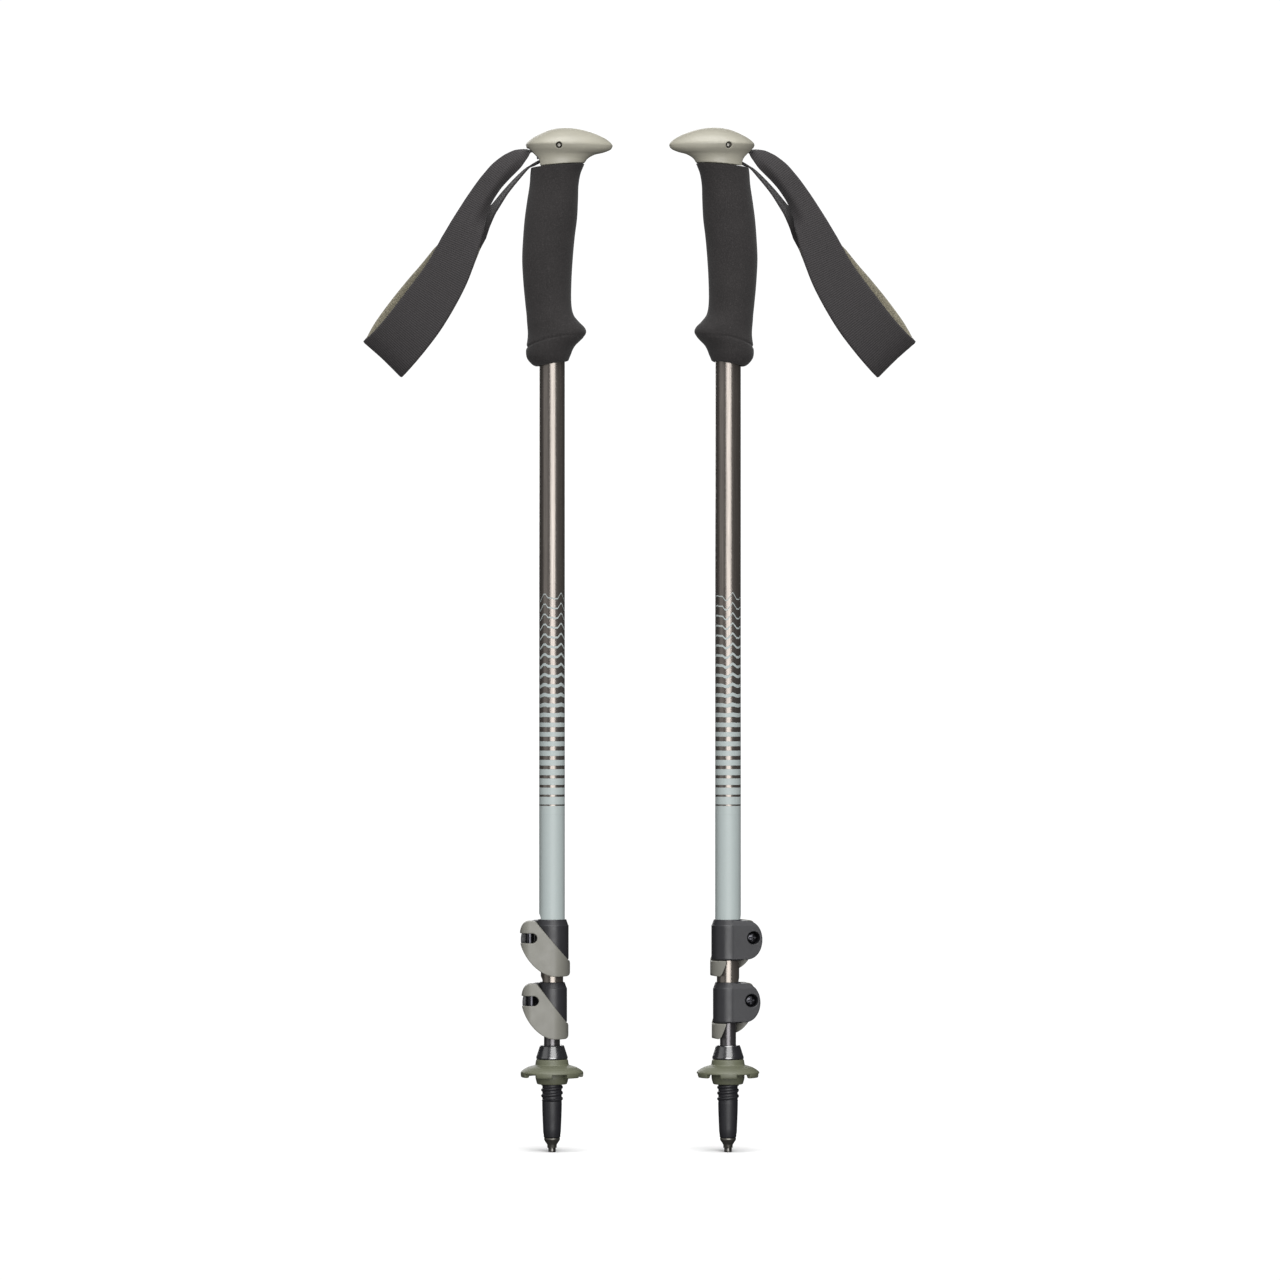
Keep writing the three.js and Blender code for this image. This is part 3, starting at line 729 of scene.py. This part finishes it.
def centripetal(points, t):
    """A point of the smooth curve through points, at t counted in points."""
    count = len(points)
    k = min(int(t), count - 2)
    share = t - k
    a, b = points[k], points[k + 1]
    before = points[k - 1] if k > 0 else a * 2 - b
    after = points[k + 2] if k + 2 < count else b * 2 - a
    d0, d1, d2 = ((q - p).length ** 0.5 for p, q in ((before, a), (a, b), (b, after)))
    d1 = d1 if d1 > 1e-4 else 1.0
    d0 = d0 if d0 > 1e-4 else d1
    d2 = d2 if d2 > 1e-4 else d1
    leave = ((a - before) / d0 - (b - before) / (d0 + d1) + (b - a) / d1) * d1
    arrive = ((b - a) / d1 - (after - a) / (d1 + d2) + (after - b) / d2) * d1
    s2, s3 = share * share, share**3
    return (
        a * (2 * s3 - 3 * s2 + 1) + leave * (s3 - 2 * s2 + share) + b * (3 * s2 - 2 * s3) + arrive * (s3 - s2)
    )


def strap_frames(start, end, step):
    """Places along the strap, about step apart.

    Each is its centre, across, out of its face, width, curl and the length so far.
    """
    path = [Vector(p[:3]) for p in STRAP_POINTS]
    forms = [Vector(p[3:6]) for p in STRAP_POINTS]
    curls = [Vector((p[6], 0, 0)) for p in STRAP_POINTS]
    fine = 600
    marks = [start + (end - start) * k / fine for k in range(fine + 1)]
    lengths = [0.0]
    for a, b in zip(marks, marks[1:]):
        lengths.append(lengths[-1] + (centripetal(path, b) - centripetal(path, a)).length)
    count = max(round(lengths[-1] / step), 2)
    frames = []
    mark = 0
    for k in range(count + 1):
        wanted = lengths[-1] * k / count
        while mark < fine - 1 and lengths[mark + 1] < wanted:
            mark += 1
        share = (wanted - lengths[mark]) / (lengths[mark + 1] - lengths[mark])
        t = marks[mark] + (marks[mark + 1] - marks[mark]) * min(share, 1)
        low, high = max(t - 0.02, start), min(t + 0.02, end)
        along = (centripetal(path, high) - centripetal(path, low)).normalized()
        width, roll, tilt = centripetal(forms, t)
        roll, tilt = math.radians(roll), math.radians(tilt)
        across = Vector((-math.cos(tilt) * math.sin(roll), math.cos(roll), math.sin(tilt) * math.sin(roll)))
        across = (across - along * across.dot(along)).normalized()
        curl = math.radians(max(centripetal(curls, t).x, 0))
        frames.append((centripetal(path, t), across, across.cross(along), width, curl, wanted))
    return frames


def curled_section(half, curl, columns):
    """Places across the band from its lower edge to its upper one, the lower part turned away by curl."""
    shares = [-1 + 2 * k / columns for k in range(columns + 1)]
    spots = []
    x, rise = 0.0, 0.0
    for share in shares:
        turn = curl * min(max((-0.1 - share) / 0.35, 0), 1)
        spots.append((share, x, rise, turn))
        x += math.cos(turn) * 2 * half / columns
        rise += math.sin(turn) * 2 * half / columns
    middle = spots[columns // 2]
    return [(share, x - middle[1], rise - middle[2], turn) for share, x, rise, turn in spots]


def strap_band(name, frames, low, high, relief, columns=30):
    """A band whose section has round edges. relief(length, share, face) adds height to a face."""
    half_thick = (high - low) / 2
    middle = (high + low) / 2
    rings = []
    ribs = []
    for centre, across, out, width, curl, length in frames:
        half = width / 2
        section = curled_section(half, curl, columns)
        ring = []
        for face, spots in ((1, section), (-1, section[::-1])):
            for share, x, rise, turn in spots:
                edge = min((1 - abs(share)) * half / half_thick, 1)
                bump = relief(length, share, face)
                reach = max(half_thick * math.sqrt(max(edge * (2 - edge), 0.0)) + bump * edge, 0.12)
                height = middle + face * reach
                spot = across * (x - height * math.sin(turn)) + out * (rise + height * math.cos(turn))
                ring.append(centre + spot)
                ribs.append(bump)
        rings.append(ring)

    def uv(row, column):
        share = (column if column <= columns else 2 * columns + 1 - column) / columns
        return ((share - 0.5) * frames[row][3] * MM, frames[row][5] * MM)

    made = grid(name, rings, uv)
    strongest = max(max(ribs), 1e-6)
    # the relief's height, which the webbing's colour uses to paint its rib tops lighter, as a highlight
    layer = made.data.attributes.new("rib", "FLOAT", "POINT")
    layer.data.foreach_set("value", [max(value / strongest, 0) for value in ribs])
    return made


def ribbed(length, share, face):
    """Ribs across the band. Neighbouring yarns are half a rib apart, which makes the twill."""
    yarn = 0.16 * math.sin(share * 47.0)
    wave = math.sin(math.pi * length / RIB_PITCH + yarn)
    return RIB_HEIGHT * abs(wave) ** 0.8


def strap_webbing():
    frames = strap_frames(0, len(STRAP_POINTS) - 1, RIB_PITCH / 5)
    return smooth_shaded(strap_band("webbing", frames, RIB_HEIGHT, WEBBING - RIB_HEIGHT, ribbed), 70)


def strap_lining():
    def quilted(length, share, face):
        seam = 0.45 * math.exp(-(((1 - abs(share)) / 0.09) ** 2))
        return 0.25 - seam if face < 0 else 0

    frames = strap_frames(*LINED, 0.8)
    made = strap_band("lining", frames, -LINING - LAYER_GAP + 0.3, -LAYER_GAP, quilted)
    return smooth_shaded(made, 70)


def strap_wedge():
    """The wedge that the webbing is locked by."""
    made = through([(-9.5, 620.7), (-1.5, 624.1), (-1.5, 626.5), (-9.5, 623.6)], -6.5, 6.5)
    return smooth_shaded(bevelled(made, 0.4, 3), 40)


def place_straps():
    for side, mirrored in zip(SIDES, (False, True)):
        where = strap_placement(side)
        both = ["strap_webbing", "strap_anchor"]
        band = place(strap_webbing(), side, "strap_webbing", None, "webbing", both, mirrored, where)
        inside, outside = (where @ Vector((x * MM, 0, 621 * MM)) for x in (-12.0, -17.0))
        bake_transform(band)
        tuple(inside)
        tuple(outside)
        pad = place(strap_lining(), side, "strap_lining", "strap", "lining", None, mirrored, where)
        place(strap_wedge(), side, "strap_wedge", "upper", "nylon", None, mirrored, where)


# ---------------------------------------------------------------- shafts
SLOT_HALF_WIDTH = 4.2
SLOT_RISE = 3.6


def clamp_slot(clamp, low):
    """The slot that lets a clamp squeeze the end of its shaft, open at the back."""
    top = clamp["base"] + CLAMP_HEIGHT + SLOT_RISE - SLOT_HALF_WIDTH
    outline = [(-SLOT_HALF_WIDTH, low - 1), (SLOT_HALF_WIDTH, low - 1)]
    outline += arc(0, top, SLOT_HALF_WIDTH, SLOT_HALF_WIDTH, 0, 180)
    made = through(outline, 0, 12)
    made.data.transform(Matrix.Rotation(math.pi / 2, 4, "Z"))
    return made


def tube_outline(r, low, high):
    """A tube with its edges broken."""
    edge = 0.2
    bore = r - SHAFT_WALL
    return [
        (bore, low + edge), (bore + edge, low), (r - edge, low), (r, low + edge),
        (r, high - edge), (r - edge, high), (bore + edge, high), (bore, high - edge),
    ]


def outer_shaft(clamp, r, top):
    low = clamp["base"] + CLAMP_LIP + 0.1
    made = turned("shaft", tube_outline(r, low, top), 128)
    return smooth_shaded(cut(made, clamp_slot(clamp, low)), 30)


def upper_shaft():
    return outer_shaft(UPPER_CLAMP, UPPER_R, SHAFT_TOP)


def middle_shaft():
    return outer_shaft(LOWER_CLAMP, MIDDLE_R, MIDDLE_TOP)


def lower_shaft():
    low, high = 76, 98
    bore, end_bore = LOWER_R - SHAFT_WALL, LOWER_END_R - SHAFT_WALL
    steps = 10
    taper = []
    for k in range(steps + 1):
        share = k / steps
        eased = share * share * (3 - 2 * share)
        taper.append((LOWER_END_R + (LOWER_R - LOWER_END_R) * eased, low + (high - low) * share))
    outline = [(end_bore, 48), (LOWER_END_R, 48), *taper, (LOWER_R, LOWER_TOP), (bore, LOWER_TOP)]
    outline += [(bore, high), (end_bore, low)]
    return smooth_shaded(turned("shaft", outline, 128), 30)


# ---------------------------------------------------------------- clamps
HUB_R = 6.2
BARREL_R = 2.6
SCREW_R = 2.0
SCREW_HEAD_R = 3.7
SCREW_HEAD = 2.5
EAR_LOW = -1.9
EAR_REACH = 9.1
EAR_ROUND = 9.4
SPLIT = (0.8, 2.2)  # the cut through the collar, from y to y
RECESS_FLOOR = 4.8
LEVER_DROP = 10
LEVER_SLOT_HALF_HEIGHT = 3.1


def hub(clamp):
    """Where the lever's axis meets the screw's: x, y and z."""
    return -clamp["collar"] - 3.4, -clamp["collar"] + 2.2, clamp["base"] + 14


def collar(clamp):
    """The split collar and its ear, with the room for the lever's hub and the screw."""
    base, r = clamp["base"], clamp["collar"]
    top = base + CLAMP_HEIGHT
    x, y, z = hub(clamp)
    body = turned("collar", [
        (0, base), (r - 0.6, base), (r, base + 0.8), (r, top - 3.8), (r - 0.3, top - 3.5),
        (r - 1.4, top - 0.3), (r - 1.6, top), (0, top),
    ])
    round_x, round_z = -r - EAR_REACH + EAR_ROUND, base + CLAMP_HEIGHT / 2
    rounding = arc(round_x, round_z, EAR_ROUND, CLAMP_HEIGHT / 2 - 0.6, 90, 270, 48)
    ear = through([(0.3, base + 0.6), (0.3, top - 0.6), *rounding], EAR_LOW, r - 0.03)
    chamfer = [(r, top - 3.8), (r + 2, top - 3.8), (r + 2, top + 1), (r - 1.6, top + 1), (r - 1.6, top)]
    above = through(chamfer, -1, 30)
    above.data.transform(Matrix.Rotation(math.pi / 2, 4, "Z"))
    cut(ear, above)
    joined(body, ear)
    cut(
        body,
        rod(clamp["inside"] + 0.25, base - 1, top + 1),
        rod(clamp["shaft"] + SHAFT_CLEARANCE, base + CLAMP_LIP, top + 1),
        block(-30, -clamp["inside"] + 1, *SPLIT, base - 1, top + 1),
        rod(HUB_R + 0.15, base - 1, top + 1, (x, y)),
        cross_rod(SCREW_R + 0.3, -20, 20, x, z),
        cross_rod(SCREW_HEAD_R + 0.4, RECESS_FLOOR, 20, x, z),
    )
    return smooth_shaded(softened(body, 0.22, 3), 60)


def lever_face(clamp):
    """The lever's outline as it is seen from the front."""
    base, r = clamp["base"], clamp["collar"]
    left, right = -r - 9.7, r + 0.9
    low = base - LEVER_DROP
    outline = [(left + 5.8, base + 24.7)]
    outline += bezier(outline[-1], (left, base + 24.4), (left, base + 14.4))
    outline += bezier(outline[-1], (left, base + 5), (-9, low + 0.2), (2, low))
    outline += [(right - 2.6, low)]
    outline += bezier(outline[-1], (right, low), (right, low + 2.6), steps=8)
    outline += [(right, base - 2.2)]
    outline += bezier(outline[-1], (right, base - 1), (right - 0.8, base), steps=6)
    outline += [(left + 11, base + 23.2)]
    outline += bezier(outline[-1], (left + 9.6, base + 24.7), (left + 7.8, base + 24.7), steps=8)
    return outline


def finger_tab(clamp):
    """The tab that hooks round the shaft below the collar."""
    def ring(radius, flare):
        points = []
        for k in range(33):
            share = k / 32
            angle = math.radians(-55 + 123 * share)
            reach = radius + flare * share * share
            points.append((reach * math.cos(angle), reach * math.sin(angle)))
        return points

    outer = ring(clamp["collar"] + 0.6, 1.3)
    inner = ring(clamp["inside"] + 1.6, 1.0)
    return raised(outer + inner[::-1], clamp["base"] - LEVER_DROP, clamp["base"] - 0.3)


def lever(clamp):
    base, r = clamp["base"], clamp["collar"]
    x, y, z = hub(clamp)
    low, high = base - LEVER_DROP, base + 24.7
    front = r + 2.9
    wrap = [(x, y - HUB_R), (-1, -front), *arc(0, 0, r + 0.6, front, -90, 0), (0, 0), (x, y)]
    made = raised(wrap, low, high)
    cut(made, rod(r + 0.3, low - 1, high + 1))
    joined(made, rod(HUB_R, low, high, (x, y)), finger_tab(clamp))
    kept(made, through(lever_face(clamp), -25, 15))
    half = LEVER_SLOT_HALF_HEIGHT
    slot = [(-30, z - half), *arc(x + 1.6, z, half, half, -90, 90), (-30, z + half)]
    slant = [(-6, low - 0.1), (8.0, low - 0.1), (6.6, low + 1.5), (3.6, base), (-6, base)]
    step = [(r - 0.8, low - 1), (r + 6, low - 1), (r + 6, base + 3), (r - 0.8, base + 3)]
    cut(
        made,
        rod(BARREL_R + 0.15, low - 1, high + 1, (x, y)),
        through(slot, -25, 0),
        through(slant, 4, 20),
        through(step, -25, -6.4),
    )
    return smooth_shaded(softened(made, 0.22, 14), 60)


def barrel_nut(clamp):
    """The lever's pivot, with a hole for the screw that is blind at the front."""
    x, y, z = hub(clamp)
    reach = 7.4
    r = BARREL_R
    made = turned("nut", [
        (0, -reach), (r - 0.3, -reach), (r, -reach + 0.3), (r, reach - 0.3), (r - 0.3, reach), (0, reach),
    ], 64)
    made.data.transform(Matrix.Translation((x, y, z)))
    return smooth_shaded(cut(made, cross_rod(SCREW_R + 0.12, y - 1.5, 20, x, z)), 40)


def clamp_screw(clamp):
    """A pan-head screw with a cross recess, with its end in the barrel nut."""
    x, y, z = hub(clamp)
    low = RECESS_FLOOR + 0.15
    high = low + SCREW_HEAD
    head = [(0, y - 1.4), (SCREW_R - 0.3, y - 1.4), (SCREW_R, y - 1.0), (SCREW_R, low), (SCREW_HEAD_R, low)]
    head += [(SCREW_HEAD_R, high - 1.5), (SCREW_HEAD_R - 0.3, high - 0.9), (SCREW_HEAD_R - 1.1, high - 0.4)]
    head += [(SCREW_HEAD_R - 2.2, high - 0.1), (0.3, high), (0, high)]
    made = turned("screw", head, 64)
    made.data.transform(Matrix.Translation((x, 0, z)) @ Matrix.Rotation(-math.pi / 2, 4, "X"))
    for along, up in ((2.3, 0.5), (0.5, 2.3)):
        cut(made, block(x - along, x + along, high - 1.5, high + 1, z - up, z + up))
    return smooth_shaded(bevelled(made, 0.08, 1, 40), 40)


# ---------------------------------------------------------------- tip
def ferrule():
    """The glossy cone over the end of the lower shaft."""
    return smooth_shaded(turned("ferrule", [
        (6.35, 58.2), (9.5, 58.2), (9.75, 58.4), (9.85, 58.8), (9.8, 59.6), (9.55, 60.2), (7.75, 65.9),
        (7.5, 66.5), (7.2, 66.8), (5.35, 66.8), (5.15, 66.6), (5.15, 61.8), (6.35, 61.8),
    ], 128), 35)


def flex_tip():
    """The barrel, with a real thread wound up its neck."""
    sides = 96
    root, crest, pitch = 6.1, 6.85, 3.6
    first, last = 31.6, 57.4
    outline = [(4.9, 9.1), (5.15, 9.25), (5.3, 9.6), (5.35, 11.2), (5.5, 11.6), (5.62, 15), (5.85, 20)]
    outline += [(6.08, 26), (6.15, 30), (6.15, 31.2)]
    rings = [circle(r, z, sides) for r, z in outline]
    z = first
    while z <= last:
        ring = []
        for k in range(sides):
            angle = math.tau * k / sides
            phase = ((z - first) / pitch - k / sides) % 1.0
            ridge = max(0.0, min(1.0, 1.7 - abs(phase - 0.5) * 5.2))
            ends = min(max((z - first) / 1.2, 0), 1) * min(max((last - z) / 1.2, 0), 1)
            r = root - 0.05 + (crest - root) * ridge * ends
            ring.append((r * math.cos(angle), r * math.sin(angle), z))
        rings.append(ring)
        z += pitch / 12
    rings += [circle(root, 57.6, sides), circle(root, 61.5, sides)]
    made = grid("tip", rings, lambda row, column: (column / sides, rings[row][0][2] * MM))
    cut(made, rod(2.6, 5, 30), rod(LOWER_END_R + 0.1, 47.7, 65))
    return smooth_shaded(made, 40)


def tip_holder():
    return smooth_shaded(turned("holder", [
        (1.75, 2.6), (2.6, 2.6), (2.85, 2.75), (2.95, 3.0), (2.95, 4.5), (3.2, 5.0), (4.75, 7.3),
        (5.0, 7.8), (5.05, 8.3), (5.0, 8.8), (4.8, 8.9), (2.45, 8.9), (2.45, 22), (1.75, 22),
    ], 96), 32)


def carbide_point():
    return smooth_shaded(turned("point", [
        (0, 0.35), (1.2, 0.12), (1.9, 0), (2.15, 0.05), (2.32, 0.3), (2.35, 0.6), (2.35, 2.3), (2.2, 2.45),
        (1.6, 2.45), (1.6, 12), (0, 12),
    ], 64), 32)


def basket():
    outline = [
        (7.05, 42.4), (8.7, 42.4), (9.3, 42.6), (9.6, 43.4), (10.1, 45.2), (10.35, 46.4), (10.4, 50.4),
        (11.2, 50.6), (14.6, 49.9), (15.8, 48.9), (16.6, 47.2), (17.2, 46.8), (19.0, 46.8), (19.4, 47.2),
        (19.6, 48.4), (19.6, 49.9), (19.2, 50.5), (17.8, 51.6), (15.4, 53.0), (12.6, 53.9), (10.9, 54.3),
        (10.4, 54.8), (10.2, 56.4), (9.95, 57.6), (9.6, 58.0), (7.05, 58.0),
    ]
    made = turned("basket", outline, 144)
    for k in range(6):
        notch = raised([(13.4, -3.4), (24, -6.4), (24, 6.4), (13.4, 3.4)], 44, 49.2)
        notch.data.transform(Matrix.Rotation(math.tau * (k + 0.76) / 6, 4, "Z"))
        cut(made, notch)
    return smooth_shaded(softened(made, 0.25, 4), 60)


# ---------------------------------------------------------------- the poles
def build_poles():
    on_both_sides(grip_cap, "grip_cap", "upper", "cap_plastic")
    on_both_sides(grip_foam, "grip_foam", "upper", "foam")
    on_both_sides(strap_pin, "strap_pin", "upper", "steel")
    place_straps()
    on_both_sides(upper_shaft, "upper_shaft", "upper", "painted_shaft")
    on_both_sides(middle_shaft, "middle_shaft", "middle", "black_shaft", "bronze_shaft")
    on_both_sides(lower_shaft, "lower_shaft", "lower", "black_shaft")
    for name, clamp, body in (("upper", UPPER_CLAMP, "upper"), ("lower", LOWER_CLAMP, "middle")):
        on_both_sides(lambda: collar(clamp), f"{name}_collar", body, "collar_plastic")
        on_both_sides(lambda: lever(clamp), f"{name}_lever", f"{name}_lever", "lever_plastic")
        on_both_sides(lambda: barrel_nut(clamp), f"{name}_barrel_nut", body, "black_steel")
        on_both_sides(lambda: clamp_screw(clamp), f"{name}_clamp_screw", f"{name}_screw", "black_steel")
    on_both_sides(ferrule, "tip_ferrule", "lower", "gloss_plastic")
    on_both_sides(flex_tip, "flex_tip", "lower", "tip_plastic")
    on_both_sides(tip_holder, "tip_holder", "lower", "steel")
    on_both_sides(carbide_point, "carbide_point", "lower", "carbide")
    on_both_sides(basket, "basket", "basket", "basket_plastic")


def dress_inner_nodes():
    """What stays as CAD made it, inside the poles, gets its material."""
    for side in SIDES:
        for node in ("middle_bushing", "lower_bushing"):
            materials = frame["nodes"][f"{side}_{node}"].data.materials
            materials.clear()
            materials.append(MATERIALS["nylon"])


# ---------------------------------------------------------------- stage, light and camera
FLOOR_R = 0.17  # in metres: small, so that the sections are seen when they are drawn out below it
POLE_MIDDLE = 0.32  # in metres above the points
SEEN_WHITE = 1.05  # the world's strength to the camera
FILL = 0.12  # and as light on the poles
MIRRORED = 0.05  # and in their reflections
OVERHEAD = {"energy": 3.1, "spread": 50, "tilt": 14}
SOFTBOXES = (  # name, place from the poles' middle, size, radiance; in metres
    ("front", (0.3, -2.6, 0), (2.0, 1.8), 5.6),
    ("front_high", (0.5, -2.2, 1.8), (2.2, 1.1), 3.2),
    ("back", (-0.6, 2.6, 0.9), (2.0, 1.6), 2.5),
    ("left", (-2.3, -1.3, 0.5), (2.2, 2.2), 0.6),
)
CAMERA_DISTANCE = 4.0
CAMERA_WIDTH = 0.8
SENSOR = 36


def add_floor(foot):
    """A white disc that fades into the white around it, to the camera.

    Reflections don't see it, and it throws back little light, so that the poles keep their dark edges.
    """
    g = Graph("floor_paper")
    seen = g.light_path("Is Camera Ray")
    paper = g.mix(seen, (0.12, 0.12, 0.12, 1), (0.9, 0.9, 0.9, 1))
    place_on_floor = g.add("ShaderNodeTexCoord", output=3)
    away = g.add("ShaderNodeVectorMath", {"operation": "LENGTH"}, output=1, i0=place_on_floor)
    glow = g.math("MULTIPLY", g.spread(away, 0.1, FLOOR_R, 0.0, 0.4), seen)
    g.shade(
        Base_Color=paper,
        Roughness=1.0,
        Specular_IOR_Level=0.0,
        Emission_Color=(1, 1, 1, 1),
        Emission_Strength=glow,
    )
    rim = circle(FLOOR_R, 0, 96)
    floor = new_object("floor", rim, [tuple(range(len(rim)))])
    floor.location = foot
    clear = g.add("ShaderNodeBsdfTransparent")
    mirrored = g.light_path("Is Glossy Ray")
    surface = g.add("ShaderNodeMixShader", i0=mirrored, i1=g.shader.outputs[0], i2=clear)
    g.tree.links.new(surface, g.tree.nodes["Material Output"].inputs["Surface"])
    floor.data.materials.append(g.material)


def add_world():
    """White to the camera, a soft fill for what is lit, and nearly dark in reflections."""
    world = bpy.data.worlds.new("studio")
    SCENE.world = world
    g = Nodes(world)
    background = g.tree.nodes["Background"]
    seen = g.light_path("Is Camera Ray")
    mirrored = g.light_path("Is Glossy Ray")
    strength = g.math("ADD", g.math("MULTIPLY", seen, SEEN_WHITE - FILL), FILL)
    strength = g.math("ADD", strength, g.math("MULTIPLY", mirrored, MIRRORED - FILL))
    g.set(background, "Strength", strength)
    g.set(background, "Color", (1, 1, 1, 1))


def add_softbox(name, spot, target, size, radiance):
    """A softbox of an even brightness, which its power follows from."""
    light = bpy.data.lights.new(name, "AREA")
    light.shape = "RECTANGLE"
    light.size, light.size_y = size
    light.energy = radiance * math.pi * size[0] * size[1]
    lamp = bpy.data.objects.new(name, light)
    lamp.location = spot
    lamp.rotation_euler = (Vector(target) - Vector(spot)).to_track_quat("-Z", "Y").to_euler()
    lamp.visible_camera = False
    SCENE.collection.objects.link(lamp)


def add_overhead():
    """A broad light from above: it whitens the floor and puts a soft shadow under each basket."""
    light = bpy.data.lights.new("overhead", "SUN")
    light.energy = OVERHEAD["energy"]
    light.angle = math.radians(OVERHEAD["spread"])
    lamp = bpy.data.objects.new("overhead", light)
    lamp.rotation_euler = (math.radians(OVERHEAD["tilt"]), 0, 0)
    SCENE.collection.objects.link(lamp)


def add_camera(middle):
    """Level with the middle of the poles, with a long lens."""
    data = bpy.data.cameras.new("camera")
    data.sensor_width = SENSOR
    data.lens = SENSOR * CAMERA_DISTANCE / CAMERA_WIDTH
    data.clip_end = 100
    camera = bpy.data.objects.new("camera", data)
    camera.location = middle + Vector((0, -CAMERA_DISTANCE, 0))
    camera.rotation_euler = (math.pi / 2, 0, 0)
    SCENE.collection.objects.link(camera)
    SCENE.camera = camera


def build_studio():
    left, right = (Vector(MOUNTS[f"{side}_tip_face"]["pos_m"]) for side in SIDES)
    feet = (left + right) / 2
    middle = feet + Vector((0, 0, POLE_MIDDLE))
    SCENE.view_settings.view_transform = "Standard"
    add_camera(middle)
    add_floor(feet)
    add_world()
    add_overhead()
    for name, offset, size, radiance in SOFTBOXES:
        add_softbox(name, middle + Vector(offset), middle, size, radiance)


build_poles()
dress_inner_nodes()
build_studio()
